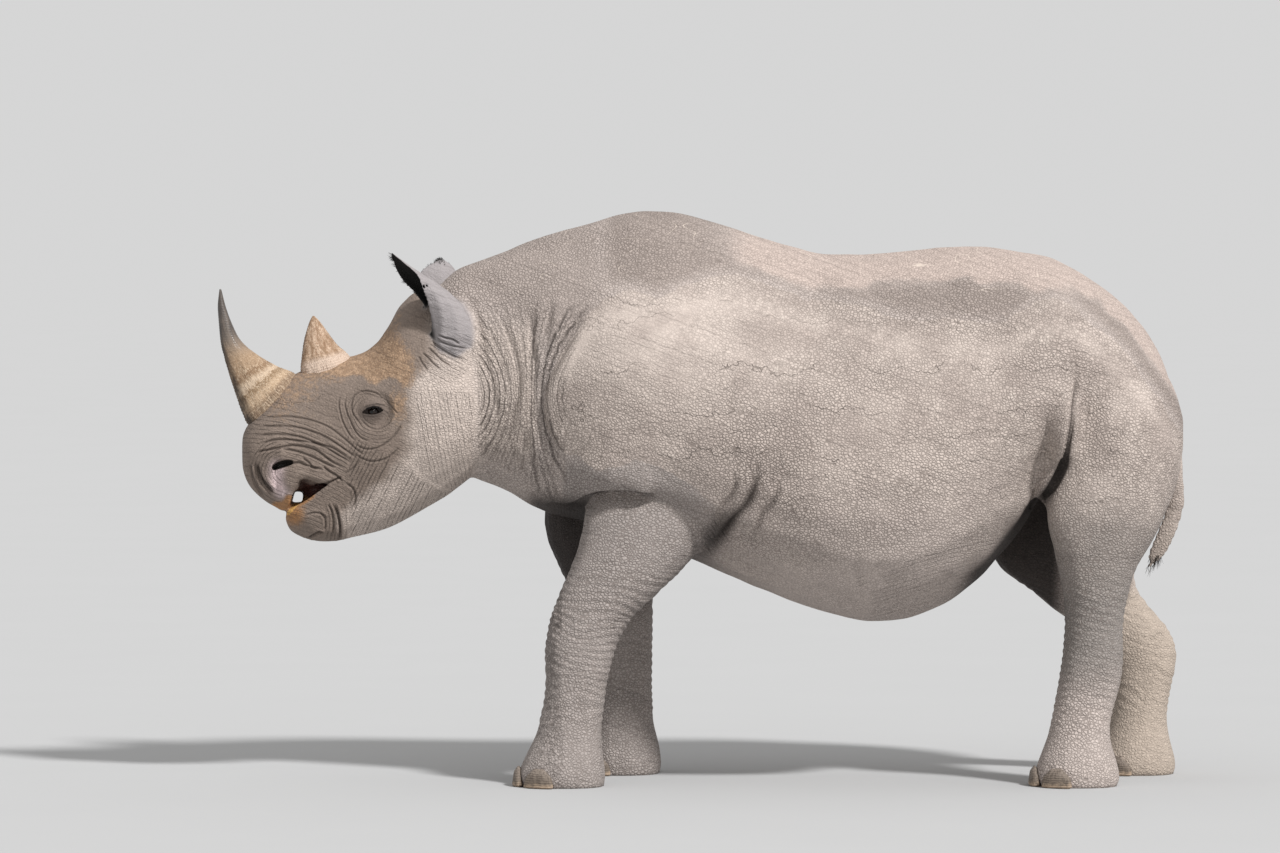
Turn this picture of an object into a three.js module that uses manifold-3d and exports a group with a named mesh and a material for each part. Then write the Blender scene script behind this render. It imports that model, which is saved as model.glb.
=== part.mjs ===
// Black rhinoceros, life size, standing in mid-stride with the head level and the mouth ajar.
// Millimetres, +Z up. The animal faces -X, its left side is at -Y and the floor is z = 0.

import * as THREE from 'three';
import { mergeVertices } from 'three/addons/utils/BufferGeometryUtils.js';
import Module from 'manifold-3d';

const wasm = await Module();
wasm.setup();

// ---------- driving dimensions ----------

// Clearance kept between neighbouring pieces.
const GAP = 0.5;

// Side of the body, as the sign of Y.
const LEFT = -1;
const RIGHT = 1;

// How finely each kind of piece is divided: corners round a slice, and slices along its length.
const FINENESS = {
  neck: { sides: 24, steps: 8 },
  trunk: { sides: 24, steps: 20 },
  head: { sides: 24, steps: 23 },
  frontHorn: { sides: 14, steps: 10 },
  rearHorn: { sides: 12, steps: 8 },
  ear: { sides: 18, steps: 11 },
  thigh: { sides: 14, steps: 9 },
  foreShin: { sides: 14, steps: 4 },
  hindShin: { sides: 14, steps: 9 },
  foot: { sides: 14, steps: 5 },
  tail: { sides: 10, steps: 8 },
  ball: { sides: 10, steps: 6 },
  nail: { sides: 8, steps: 5 },
};

// Body, as upright slices from inside the head to the rump:
// x, top, bottom, then half the width at each of BODY_LEVELS, as shares of the height from the top.
const BODY_LEVELS = [0.12, 0.35, 0.62, 0.86];
const BODY = [
  [-800, 1380, 1050, 70, 95, 100, 75],
  [-725, 1468, 940, 98, 142, 152, 112],
  [-655, 1500, 872, 112, 168, 180, 132],
  [-575, 1531, 845, 126, 186, 200, 150],
  [-495, 1565, 795, 142, 214, 232, 176],
  [-415, 1591, 765, 158, 260, 282, 224],
  [-325, 1613, 748, 172, 305, 335, 290],
  [-220, 1646, 718, 188, 348, 380, 335],
  [-80, 1650, 662, 198, 374, 410, 332],
  [120, 1597, 575, 210, 390, 438, 345],
  [320, 1528, 498, 226, 402, 466, 370],
  [520, 1529, 453, 240, 408, 476, 382],
  [690, 1546, 500, 246, 404, 465, 368],
  [840, 1548, 612, 243, 393, 436, 325],
  [940, 1528, 748, 236, 382, 405, 258],
  [1020, 1518, 868, 225, 368, 368, 225],
  [1130, 1450, 930, 200, 332, 335, 200],
  [1240, 1363, 965, 162, 282, 296, 175],
  [1318, 1256, 1005, 112, 205, 222, 130],
  [1358, 1150, 1040, 45, 78, 80, 45],
];
const NECK_BASE = 5.3;
const NECK_PARTING = 0.003;

// Head with both lips, from the back of the cheeks to the nose, in the same form.
// The levels are the bridge, brow, cheekbone, jowl and chin.
const HEAD_LEVELS = [0.1, 0.3, 0.5, 0.75, 0.94];
const HEAD = [
  [-572, 1260, 1010, 70, 105, 115, 100, 60],
  [-602, 1360, 940, 95, 150, 168, 150, 85],
  [-660, 1420, 884, 112, 172, 192, 175, 100],
  [-740, 1432, 822, 118, 178, 200, 182, 98],
  [-810, 1425, 782, 116, 174, 194, 172, 92],
  [-866, 1385, 750, 110, 166, 184, 158, 86],
  [-908, 1312, 730, 106, 160, 175, 148, 80],
  [-950, 1257, 717, 102, 154, 166, 138, 74],
  [-1000, 1232, 706, 98, 143, 152, 124, 68],
  [-1060, 1222, 692, 92, 126, 134, 112, 66],
  [-1115, 1203, 692, 86, 112, 120, 102, 62],
  [-1163, 1185, 706, 82, 104, 112, 94, 58],
  [-1196, 1165, 729, 78, 103, 112, 90, 54],
  [-1214, 1148, 778, 76, 101, 111, 84, 47],
  [-1250, 1108, 799, 70, 98, 106, 76, 42],
  [-1290, 1062, 830, 58, 84, 90, 62, 34],
  [-1316, 1026, 864, 42, 60, 64, 44, 24],
  [-1329, 996, 905, 20, 28, 30, 22, 12],
];

// Mouth: the edges of both lips from the corner to the front, as [x, z], and the line that parts
// the lower jaw from the head behind the corner.
const UPPER_LIP = [
  [-1040, 876],
  [-1085, 866],
  [-1125, 874],
  [-1158, 880],
  [-1174, 850],
  [-1187, 818],
  [-1192, 796],
  [-1205, 784],
  [-1220, 780],
];
const LOWER_LIP = [
  [-1040, 876],
  [-1087, 852],
  [-1135, 818],
  [-1162, 800],
  [-1188, 788],
  [-1204, 768],
];
const JAW_HINGE_LINE = [
  [-1040, 876],
  [-940, 860],
  [-840, 872],
  [-740, 916],
  [-660, 960],
  [-560, 985],
];
const MOUTH_FLOOR = { x: -1098, z: 832, long: 62, wide: 60, high: 44, tilt: -20 };

// The jaws are parted by cutters that reach past the head: downwards, to the back and to the sides.
const JAW_CUTTER = { low: 600, back: -500, rearTop: 985, halfWidth: 300, corners: 10 };

// Horns, from the root inside the nose to the tip:
// x, z, tilt of the slice in degrees, half depth in profile, half width.
const FRONT_HORN = [
  [-1221, 1080, 47, 98, 66],
  [-1250, 1108, 47, 100, 68],
  [-1292, 1161, 36, 71, 54],
  [-1330, 1216, 20, 48, 41],
  [-1362, 1268, 7, 30, 28],
  [-1378, 1322, -6, 20, 19],
  [-1389, 1373, -8, 12, 12],
  [-1393, 1422, -8, 3, 3],
];
const REAR_HORN = [
  [-1078, 1165, 17, 74, 60],
  [-1088, 1204, 17, 76, 61],
  [-1104, 1247, 13, 54, 44],
  [-1114, 1287, 10, 36, 29],
  [-1121, 1327, 10, 16, 14],
  [-1124, 1345, 10, 3, 3],
];

const EYE = { x: -944, y: 146, z: 1072, radius: 19 };
const NOSTRIL = { x: -1206, y: 112, z: 917, long: 32, deep: 22, high: 10, slope: -15 };

// Ears, as level slices from the root to the tip: z, x, distance from the middle plane,
// outer radius, wall, and how far round the shell reaches to its outer and inner rims.
// The angles are in degrees from straight back.
const LEFT_EAR = [
  [1225, -712, 122, 62, 58, 172, 172],
  [1270, -714, 128, 70, 50, 165, 165],
  [1310, -718, 134, 70, 24, 150, 155],
  [1350, -731, 141, 66, 15, 138, 150],
  [1400, -765, 150, 61, 11, 116, 145],
  [1445, -815, 160, 52, 9, 82, 146],
  [1475, -848, 168, 36, 7, 45, 142],
  [1505, -876, 176, 20, 6, 30, 130],
  [1530, -893, 182, 5, 3, 20, 110],
];
const RIGHT_EAR = [
  [1225, -712, 122, 62, 58, 172, 172],
  [1270, -714, 128, 70, 50, 160, 168],
  [1310, -720, 134, 71, 24, 140, 160],
  [1350, -727, 142, 69, 15, 120, 155],
  [1400, -740, 152, 66, 11, 100, 150],
  [1445, -750, 164, 60, 9, 85, 140],
  [1480, -755, 174, 50, 7, 70, 125],
  [1505, -755, 182, 28, 6, 55, 110],
  [1519, -755, 186, 6, 3, 45, 90],
];

// Legs, as level slices from inside the body to the sole: z, front x, back x.
const LEFT_FORELEG = [
  [1000, -300, -20],
  [900, -325, 15],
  [800, -335, 35],
  [710, -346, 20],
  [650, -368, -25],
  [590, -393, -85],
  [520, -421, -160],
  [455, -442, -222],
  [400, -449, -246],
  [330, -450, -264],
  [230, -454, -280],
  [150, -474, -288],
  [85, -505, -283],
  [35, -526, -277],
  [0, -520, -280],
];
const RIGHT_FORELEG = [
  [1000, -360, -60],
  [900, -420, -50],
  [800, -455, -60],
  [710, -455, -95],
  [650, -437, -120],
  [590, -406, -135],
  [520, -376, -142],
  [455, -357, -138],
  [400, -345, -138],
  [330, -330, -142],
  [230, -320, -142],
  [150, -330, -138],
  [85, -350, -122],
  [35, -364, -115],
  [0, -358, -118],
];
const LEFT_HINDLEG = [
  [1250, 1120, 1270],
  [1180, 1075, 1345],
  [1080, 1062, 1379],
  [980, 1048, 1389],
  [880, 1024, 1371],
  [790, 1004, 1338],
  [700, 1010, 1294],
  [610, 1030, 1243],
  [520, 1042, 1220],
  [430, 1042, 1208],
  [350, 1034, 1212],
  [280, 1024, 1200],
  [200, 1008, 1178],
  [140, 995, 1174],
  [85, 974, 1188],
  [35, 958, 1202],
  [0, 963, 1198],
];
const RIGHT_HINDLEG = [
  [1250, 1120, 1270],
  [1180, 1065, 1345],
  [1080, 1030, 1388],
  [980, 980, 1396],
  [880, 915, 1382],
  [790, 868, 1352],
  [700, 842, 1310],
  [610, 868, 1272],
  [545, 958, 1276],
  [480, 1040, 1324],
  [420, 1120, 1374],
  [350, 1190, 1396],
  [280, 1208, 1384],
  [200, 1206, 1370],
  [140, 1196, 1368],
  [85, 1178, 1380],
  [35, 1160, 1394],
  [0, 1165, 1390],
];

// Width of a leg by height: z, distance from the middle plane, half width, and how far its back edge
// is drawn in towards the middle plane.
const FORELEG_SIDES = [
  [0, 232, 118, 0],
  [35, 232, 122, 0],
  [85, 230, 110, 0],
  [150, 228, 92, 0],
  [230, 226, 84, 0],
  [330, 225, 86, 0],
  [420, 224, 96, 0],
  [500, 222, 98, 0],
  [650, 216, 112, 0],
  [800, 208, 124, 0],
  [900, 196, 112, 0],
  [1000, 180, 90, 0],
];
const HINDLEG_SIDES = [
  [0, 222, 114, 0],
  [35, 222, 118, 0],
  [85, 220, 106, 0],
  [150, 218, 88, 0],
  [230, 216, 80, 0],
  [350, 214, 86, 0],
  [450, 214, 90, 0],
  [550, 214, 108, 4],
  [700, 214, 138, 16],
  [850, 214, 158, 32],
  [1000, 212, 166, 46],
  [1120, 196, 160, 54],
  [1250, 150, 104, 40],
];
const WRIST_HEIGHT = 410;
const KNEE_HEIGHT = 640;
const ANKLE_HEIGHT = 175;

const NAIL = { high: 62, wide: 52, thick: 20, middleWide: 64, floorGap: 1 };
const NAIL_ANGLES = [-58, 0, 58];

// Tail, from the root to the tip: x, z, tilt of the slice in degrees, half depth, half width.
const TAIL = [
  [1215, 1330, 50, 30, 36],
  [1268, 1268, 38, 32, 34],
  [1318, 1190, 22, 28, 29],
  [1354, 1090, 12, 23, 24],
  [1373, 980, 4, 19, 20],
  [1382, 870, -3, 16, 17],
  [1374, 785, -14, 16, 14],
  [1350, 715, -26, 18, 11],
  [1322, 655, -30, 17, 8],
  [1300, 616, -30, 6, 4],
];
const TAIL_PARTING = { at: 4.6, half: 0.003 };

// ---------- materials ----------

function coat(colour, roughness) {
  return new THREE.MeshStandardMaterial({ color: colour, roughness, metalness: 0 });
}

const mudHide = coat('#b9aca0', 0.9);
const greyHide = coat('#857b74', 0.85);
const facialHide = coat('#7b6c60', 0.85);
const earHide = coat('#a29a96', 0.9);
const frontHornKeratin = coat('#8a7357', 0.6);
const rearHornKeratin = coat('#b89f80', 0.75);
const nailKeratin = coat('#6f655b', 0.7);
const eyeSurface = coat('#1a120d', 0.15);
const tailHide = coat('#9a8f84', 0.9);

// ---------- shared construction ----------

// A smooth reading of a table of slices: position 0 is the first row, 1 the second, and so on.
function smoothTable(rows) {
  const positions = rows.map((row, index) => index);
  const interpolant = new THREE.CubicInterpolant(positions, rows.flat(), rows[0].length);
  return (position) => Array.from(interpolant.evaluate(position));
}

// A smooth reading of a table by its first column, which rises from row to row.
function smoothByHeight(rows) {
  const heights = rows.map((row) => row[0]);
  const values = rows.map((row) => row.slice(1)).flat();
  const interpolant = new THREE.CubicInterpolant(heights, values, rows[0].length - 1);
  return (height) => Array.from(interpolant.evaluate(height));
}

// Turns a closed geometry into a solid, with its faces pointing outward.
function solid(geometry) {
  geometry.deleteAttribute('normal');
  geometry.deleteAttribute('uv');
  const merged = mergeVertices(geometry, 1e-3);
  const corners = Uint32Array.from(merged.index.array);
  const points = Float32Array.from(merged.attributes.position.array);
  const build = (triVerts) => new wasm.Manifold(new wasm.Mesh({ numProp: 3, vertProperties: points, triVerts }));
  const first = build(corners);
  if (first.volume() > 0) {
    return first;
  }
  for (let corner = 0; corner < corners.length; corner += 3) {
    const held = corners[corner];
    corners[corner] = corners[corner + 1];
    corners[corner + 1] = held;
  }
  return build(corners);
}

// A cylinder whose rings are laid on the rings that ringAt gives for positions first to last.
function loft(ringAt, first, last, fineness) {
  const { sides, steps } = fineness;
  const geometry = new THREE.CylinderGeometry(1, 1, 1, sides, steps);
  const point = geometry.attributes.position;
  const rings = [];
  const cores = [];
  for (let step = 0; step <= steps; step += 1) {
    const ring = ringAt(first + (last - first) * step / steps, sides);
    const core = new THREE.Vector3();
    ring.forEach((corner) => core.addScaledVector(corner, 1 / sides));
    rings.push(ring);
    cores.push(core);
  }
  for (let index = 0; index < point.count; index += 1) {
    const step = Math.round((0.5 - point.getY(index)) * steps);
    const turn = Math.atan2(point.getX(index), point.getZ(index)) / (2 * Math.PI);
    const onAxis = Math.hypot(point.getX(index), point.getZ(index)) < 0.5;
    const side = (Math.round(turn * sides) + sides) % sides;
    const place = onAxis ? cores[step] : rings[step][side];
    point.setXYZ(index, place.x, place.y, place.z);
  }
  return solid(geometry);
}

// Rings for an upright slice: a closed smooth curve through the top, the half widths and the bottom.
function sliceRing(row, levels, sides, grow) {
  const [x, top, bottom, ...widths] = row;
  const height = top - bottom;
  const right = levels.map((level, index) => new THREE.Vector3(x, widths[index] + grow, top - level * height));
  const left = right.map((corner) => new THREE.Vector3(x, -corner.y, corner.z)).reverse();
  const start = new THREE.Vector3(x, 0, top + grow);
  const end = new THREE.Vector3(x, 0, bottom - grow);
  const outline = new THREE.CatmullRomCurve3([start, ...right, end, ...left], true, 'centripetal');
  return Array.from({ length: sides }, (unused, side) => outline.getPoint(side / sides));
}

// A loft through upright slices, from the first to the last position in the table.
function sliceLoft(rows, levels, first, last, fineness, grow) {
  const table = smoothTable(rows);
  const backward = Math.sign(rows[1][0] - rows[0][0]);
  const ringAt = (position, sides) => {
    const row = table(position);
    const overrun = (position === last ? grow : 0) - (position === first ? grow : 0);
    row[0] += overrun * backward;
    return sliceRing(row, levels, sides, grow);
  };
  return loft(ringAt, first, last, fineness);
}

// Rings for a horn or the tail: an oval across the profile plane, tilted about the Y axis.
function tiltedLoft(rows, first, last, fineness) {
  const table = smoothTable(rows);
  const ringAt = (position, sides) => {
    const [x, z, tilt, deep, wide] = table(position);
    const slope = THREE.MathUtils.degToRad(tilt);
    return Array.from({ length: sides }, (unused, side) => {
      const angle = side / sides * 2 * Math.PI;
      const along = Math.cos(angle) * deep;
      const across = Math.sin(angle) * wide;
      return new THREE.Vector3(x - along * Math.cos(slope), across, z - along * Math.sin(slope));
    });
  };
  return loft(ringAt, first, last, fineness);
}

// An ellipsoid, turned about the Y axis.
function ellipsoid(place, radii, tilt) {
  const geometry = new THREE.SphereGeometry(1, FINENESS.ball.sides, FINENESS.ball.steps);
  geometry.scale(...radii);
  geometry.rotateY(THREE.MathUtils.degToRad(tilt));
  geometry.translate(...place);
  return solid(geometry);
}

function box(low, high) {
  const size = high.map((value, axis) => value - low[axis]);
  const geometry = new THREE.BoxGeometry(...size);
  geometry.translate(...low.map((value, axis) => value + size[axis] / 2));
  return solid(geometry);
}

// A prism across the whole width of the head, over an outline of [x, z] corners.
function prismAcross(outline, halfWidth) {
  const shape = new THREE.Shape(outline.map(([x, z]) => new THREE.Vector2(x, z)));
  const geometry = new THREE.ExtrudeGeometry(shape, { depth: 2 * halfWidth, bevelEnabled: false });
  geometry.rotateX(Math.PI / 2);
  geometry.translate(0, halfWidth, 0);
  return solid(geometry);
}

function smoothLine(points, count) {
  const curve = new THREE.SplineCurve(points.map(([x, z]) => new THREE.Vector2(x, z)));
  return curve.getPoints(count).map((corner) => [corner.x, corner.y]);
}

// Keeps the largest piece of a cut solid, so that no loose sliver is left beside it.
function largest(whole) {
  const pieces = whole.decompose();
  pieces.sort((one, other) => other.volume() - one.volume());
  return pieces[0];
}

const model = new THREE.Group();

function addNode(name, whole, material) {
  const cut = largest(whole).getMesh();
  const geometry = new THREE.BufferGeometry();
  geometry.setAttribute('position', new THREE.BufferAttribute(cut.vertProperties, 3));
  geometry.setIndex(new THREE.BufferAttribute(cut.triVerts, 1));
  const mesh = new THREE.Mesh(geometry, material);
  mesh.name = name;
  model.add(mesh);
}

// ---------- trunk and neck ----------

function neckBody(grow) {
  return sliceLoft(BODY, BODY_LEVELS, 0, NECK_BASE - NECK_PARTING, FINENESS.neck, grow);
}

function trunkBody(grow) {
  return sliceLoft(BODY, BODY_LEVELS, NECK_BASE + NECK_PARTING, BODY.length - 1, FINENESS.trunk, grow);
}

// ---------- head ----------

function wholeHead(grow) {
  return sliceLoft(HEAD, HEAD_LEVELS, 0, HEAD.length - 1, FINENESS.head, grow);
}

// All that lies below a lip and below the line behind the corner of the mouth, lowered by a drop.
function belowLip(lip, drop) {
  const { low, back, rearTop, halfWidth, corners } = JAW_CUTTER;
  const behind = smoothLine(JAW_HINGE_LINE, corners).reverse();
  const front = smoothLine(lip, corners).slice(1);
  const edge = [...behind, ...front, [back, rearTop]].map(([x, z]) => [x, z - drop]);
  const frontEnd = lip[lip.length - 1][0];
  edge.splice(edge.length - 1, 0, [frontEnd, low], [back, low]);
  return prismAcross(edge, halfWidth);
}

// The raised floor of the mouth with the tongue, which closes the view through the head.
function mouthFloor(grow) {
  const { x, z, long, wide, high, tilt } = MOUTH_FLOOR;
  return ellipsoid([x, 0, z], [long + grow, wide + grow, high + grow], tilt);
}

function eyeball(side, grow) {
  const { x, y, z, radius } = EYE;
  return ellipsoid([x, side * y, z], [radius + grow, radius + grow, radius + grow], 0);
}

function nostril(side) {
  const { x, y, z, long, deep, high, slope } = NOSTRIL;
  return ellipsoid([x, side * y, z], [long, deep, high], slope);
}

// ---------- ears ----------

// A pointed shell that is nearly a tube at its root and opens towards its tip.
function earShell(rows, side) {
  const table = smoothTable(rows);
  const ringAt = (position, sides) => {
    const [z, x, y, radius, wall, outerRim, innerRim] = table(position);
    const half = sides / 2;
    return Array.from({ length: sides }, (unused, index) => {
      const inside = index >= half;
      const share = inside ? (sides - 1 - index) / (half - 1) : index / (half - 1);
      const angle = THREE.MathUtils.degToRad(-innerRim + (innerRim + outerRim) * share);
      const rimThinning = 1 - 0.55 * Math.abs(2 * share - 1) ** 3;
      const reach = inside ? Math.max(radius - wall * rimThinning, 1) : radius;
      return new THREE.Vector3(x + reach * Math.cos(angle), side * (y + reach * Math.sin(angle)), z);
    });
  };
  return loft(ringAt, 0, rows.length - 1, FINENESS.ear);
}

// ---------- legs ----------

// One stretch of a leg, between two heights, with level slices.
function legStretch(rows, sideRows, side, top, bottom, fineness, grow) {
  const edges = smoothByHeight([...rows].reverse());
  const widths = smoothByHeight(sideRows);
  const ringAt = (height, sides) => {
    const [front, back] = edges(height);
    const [away, halfWidth, drawnIn] = widths(height);
    return Array.from({ length: sides }, (unused, index) => {
      const angle = index / sides * 2 * Math.PI;
      const along = Math.sign(Math.cos(angle)) * Math.abs(Math.cos(angle)) ** 0.9;
      const across = Math.sign(Math.sin(angle)) * Math.abs(Math.sin(angle)) ** 0.9;
      const x = (front + back) / 2 + along * ((back - front) / 2 + grow);
      const y = side * (away - drawnIn * along) + across * (halfWidth + grow);
      return new THREE.Vector3(x, y, height);
    });
  };
  return loft(ringAt, top, bottom, fineness);
}

// A nail lies on the front of the foot and ends just above the sole.
function nail(rows, sideRows, side, angle, foot) {
  const [, front, back] = rows[rows.length - 2];
  const [, away] = sideRows[1];
  const turn = THREE.MathUtils.degToRad(angle);
  const wide = angle === 0 ? NAIL.middleWide : NAIL.wide;
  const geometry = new THREE.SphereGeometry(1, FINENESS.nail.sides, FINENESS.nail.steps);
  geometry.scale(NAIL.thick, wide, NAIL.high);
  geometry.translate(-(back - front) / 2, 0, 0);
  geometry.rotateZ(turn);
  geometry.translate((front + back) / 2, side * away, 0);
  const underneath = box([front - NAIL.high, -1000, -NAIL.high], [back, 1000, NAIL.floorGap]);
  return solid(geometry).subtract(foot).subtract(underneath);
}

// A leg in three pieces with its nails. The shoulders, where given, are cut out of its upper piece.
function addLeg(name, rows, sideRows, side, parting, shin, shoulders) {
  const half = GAP / 2;
  const stretch = (top, bottom, fineness, grow) => legStretch(rows, sideRows, side, top, bottom, fineness, grow);
  const upper = stretch(rows[0][0], parting + half, FINENESS.thigh, 0);
  const footGrown = stretch(ANKLE_HEIGHT - half, 0, FINENESS.foot, GAP);
  addNode(`${name}_upper`, shoulders ? upper.subtract(shoulders) : upper, greyHide);
  addNode(`${name}_lower`, stretch(parting - half, ANKLE_HEIGHT + half, shin, 0), greyHide);
  addNode(`${name}_foot`, stretch(ANKLE_HEIGHT - half, 0, FINENESS.foot, 0), greyHide);
  NAIL_ANGLES.forEach((angle, index) => {
    addNode(`${name}_nail_${index + 1}`, nail(rows, sideRows, side, angle, footGrown), nailKeratin);
  });
}

// ---------- assembly ----------

const head = wholeHead(0);
const headGrown = wholeHead(GAP);
const neckGrown = neckBody(GAP);
const trunkGrown = trunkBody(GAP);
const thighsGrown = [[LEFT_HINDLEG, LEFT], [RIGHT_HINDLEG, RIGHT]].map(([rows, side]) => {
  return legStretch(rows, HINDLEG_SIDES, side, rows[0][0], KNEE_HEIGHT, FINENESS.thigh, GAP);
});

addNode('trunk', thighsGrown.reduce((whole, thigh) => whole.subtract(thigh), trunkBody(0)), mudHide);
addNode('neck', neckBody(0).subtract(headGrown), greyHide);

const hollows = [LEFT, RIGHT].flatMap((side) => [eyeball(side, GAP), nostril(side)]);
const upperHead = [...hollows, mouthFloor(GAP)].reduce((whole, hollow) => {
  return whole.subtract(hollow);
}, head.subtract(belowLip(UPPER_LIP, 0)));
addNode('head', upperHead, facialHide);
addNode('lower_jaw', head.intersect(belowLip(LOWER_LIP, GAP)).add(mouthFloor(0)), facialHide);
addNode('eye_left', eyeball(LEFT, 0), eyeSurface);
addNode('eye_right', eyeball(RIGHT, 0), eyeSurface);

const frontHorn = tiltedLoft(FRONT_HORN, 0, FRONT_HORN.length - 1, FINENESS.frontHorn);
const rearHorn = tiltedLoft(REAR_HORN, 0, REAR_HORN.length - 1, FINENESS.rearHorn);
addNode('front_horn', frontHorn.subtract(headGrown), frontHornKeratin);
addNode('rear_horn', rearHorn.subtract(headGrown), rearHornKeratin);
addNode('ear_left', earShell(LEFT_EAR, LEFT).subtract(headGrown).subtract(neckGrown), earHide);
addNode('ear_right', earShell(RIGHT_EAR, RIGHT).subtract(headGrown).subtract(neckGrown), earHide);

const shoulders = trunkGrown.add(neckGrown);
addLeg('foreleg_left', LEFT_FORELEG, FORELEG_SIDES, LEFT, WRIST_HEIGHT, FINENESS.foreShin, shoulders);
addLeg('foreleg_right', RIGHT_FORELEG, FORELEG_SIDES, RIGHT, WRIST_HEIGHT, FINENESS.foreShin, shoulders);
addLeg('hindleg_left', LEFT_HINDLEG, HINDLEG_SIDES, LEFT, KNEE_HEIGHT, FINENESS.hindShin, null);
addLeg('hindleg_right', RIGHT_HINDLEG, HINDLEG_SIDES, RIGHT, KNEE_HEIGHT, FINENESS.hindShin, null);

const rump = thighsGrown.reduce((whole, thigh) => whole.add(thigh), trunkGrown);
const tailUpper = tiltedLoft(TAIL, 0, TAIL_PARTING.at - TAIL_PARTING.half, FINENESS.tail);
const tailLower = tiltedLoft(TAIL, TAIL_PARTING.at + TAIL_PARTING.half, TAIL.length - 1, FINENESS.tail);
addNode('tail_upper', tailUpper.subtract(rump), tailHide);
addNode('tail_lower', tailLower, tailHide);

export default model;
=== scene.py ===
# %% [markdown]
# # A black rhinoceros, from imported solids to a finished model
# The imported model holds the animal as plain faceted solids: trunk, neck, head, legs, ears, horns
# and nails. It is the frame that everything here is built on. The flesh gets one continuous hide,
# while horns, nails and eyes stay pieces of their own, because on the animal they are other stuff.

# %% Load the frame
import math

import bmesh
import bpy
import numpy as np
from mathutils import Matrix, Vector
from mathutils.bvhtree import BVHTree


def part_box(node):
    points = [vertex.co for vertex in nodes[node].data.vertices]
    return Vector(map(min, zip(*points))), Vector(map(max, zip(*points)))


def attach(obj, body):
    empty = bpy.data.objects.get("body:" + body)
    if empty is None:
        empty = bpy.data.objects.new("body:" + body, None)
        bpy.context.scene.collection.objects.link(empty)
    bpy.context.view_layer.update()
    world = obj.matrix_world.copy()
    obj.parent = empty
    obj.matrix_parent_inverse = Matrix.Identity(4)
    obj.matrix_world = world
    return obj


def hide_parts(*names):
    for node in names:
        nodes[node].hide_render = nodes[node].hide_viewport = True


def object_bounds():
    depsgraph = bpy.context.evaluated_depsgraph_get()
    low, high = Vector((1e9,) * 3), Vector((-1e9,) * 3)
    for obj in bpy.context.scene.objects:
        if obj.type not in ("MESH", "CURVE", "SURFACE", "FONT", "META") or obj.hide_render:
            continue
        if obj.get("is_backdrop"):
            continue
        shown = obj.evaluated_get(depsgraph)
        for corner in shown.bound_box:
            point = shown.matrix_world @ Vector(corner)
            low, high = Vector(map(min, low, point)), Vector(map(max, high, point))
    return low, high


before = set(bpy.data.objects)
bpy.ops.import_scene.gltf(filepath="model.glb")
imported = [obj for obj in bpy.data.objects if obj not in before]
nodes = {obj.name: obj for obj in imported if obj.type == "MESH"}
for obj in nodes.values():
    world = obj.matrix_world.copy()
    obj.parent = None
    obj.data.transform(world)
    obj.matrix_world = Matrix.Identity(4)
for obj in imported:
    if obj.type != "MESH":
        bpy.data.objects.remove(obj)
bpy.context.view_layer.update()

# %% [markdown]
# ## Small tools for shapes
# Folds and bumps are made of two soft curves. A ramp goes from 0 to 1 between two values, and a
# bell is 1 at its middle and fades away on both sides. Lumpy noise makes a surface less regular.
# All of them take whole arrays of points at once, which keeps half a million points quick.

# %% Soft curves and noise
def ramp(low, high, value):
    share = np.clip((value - low) / (high - low), 0, 1)
    return share * share * (3 - 2 * share)


def bell(distance, width):
    return np.exp(-(distance / width) ** 2)


def lumps(points, size, seed):
    """Smooth noise from -1 to 1, with lumps about size metres across."""
    scaled = points / size + seed * 7.31
    cell = np.floor(scaled).astype(np.int64)
    part = scaled - cell
    part = part * part * (3 - 2 * part)
    total = np.zeros(len(points))
    for corner in range(8):
        step = np.array([corner & 1, corner >> 1 & 1, corner >> 2 & 1])
        key = ((cell + step) * [73856093, 19349663, 83492791]).sum(1) + seed * 40503
        key = (key ^ (key >> 13)) * 1274126177 & 0xFFFFFFFF
        height = ((key ^ (key >> 16)) & 0xFFFF) / 32767.5 - 1
        total += height * np.prod(np.where(step, part, 1 - part), axis=1)
    return total


def smooth_curve(points, count):
    """A rounded line through the points, with count points of its own."""
    knots = np.array(points, float)
    knots = np.vstack([2 * knots[0] - knots[1], knots, 2 * knots[-1] - knots[-2]])
    places = np.linspace(0, len(knots) - 3 - 1e-9, count)
    first = places.astype(int)
    t = (places - first)[:, None]
    a, b, c, d = (knots[first + step] for step in range(4))
    square, cube = 2 * a - 5 * b + 4 * c - d, 3 * b - a - 3 * c + d
    return 0.5 * (2 * b + (c - a) * t + square * t**2 + cube * t**3)


def drawn_line(places, count):
    """A rounded line through (x, z) places that are written in millimetres."""
    return smooth_curve(np.array(places) / 1000, count)


def read_off(value, table):
    """Reads the second number of a table of pairs in millimetres, where the first is the value."""
    return np.interp(value, *np.array(table).T / 1000)


SIDES = ((-1, "left"), (1, "right"))


# %% [markdown]
# ## Gathering the flesh
# The hide covers every solid that is flesh. Each solid is grown by a millimetre, which closes the
# narrow gaps that the solids keep between them. The eyeballs are taken in too, so that the lids
# later grow out of a filled socket. A few soft lumps fill what the solids leave open: the palate,
# the wings of the nostrils, the lower lip, and the fat in front of each thigh.

# %% Collect the flesh solids
HARD = ("nail", "horn", "eye")
flesh_names = sorted(name for name in nodes if not any(word in name for word in HARD))
filled_names = flesh_names + ["eye_left", "eye_right"]
GROWTH = 0.001


def welded(name):
    solid = bmesh.new()
    solid.from_mesh(nodes[name].data)
    bmesh.ops.remove_doubles(solid, verts=solid.verts, dist=1e-5)
    bmesh.ops.recalc_face_normals(solid, faces=solid.faces)
    solid.normal_update()
    return solid


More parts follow.
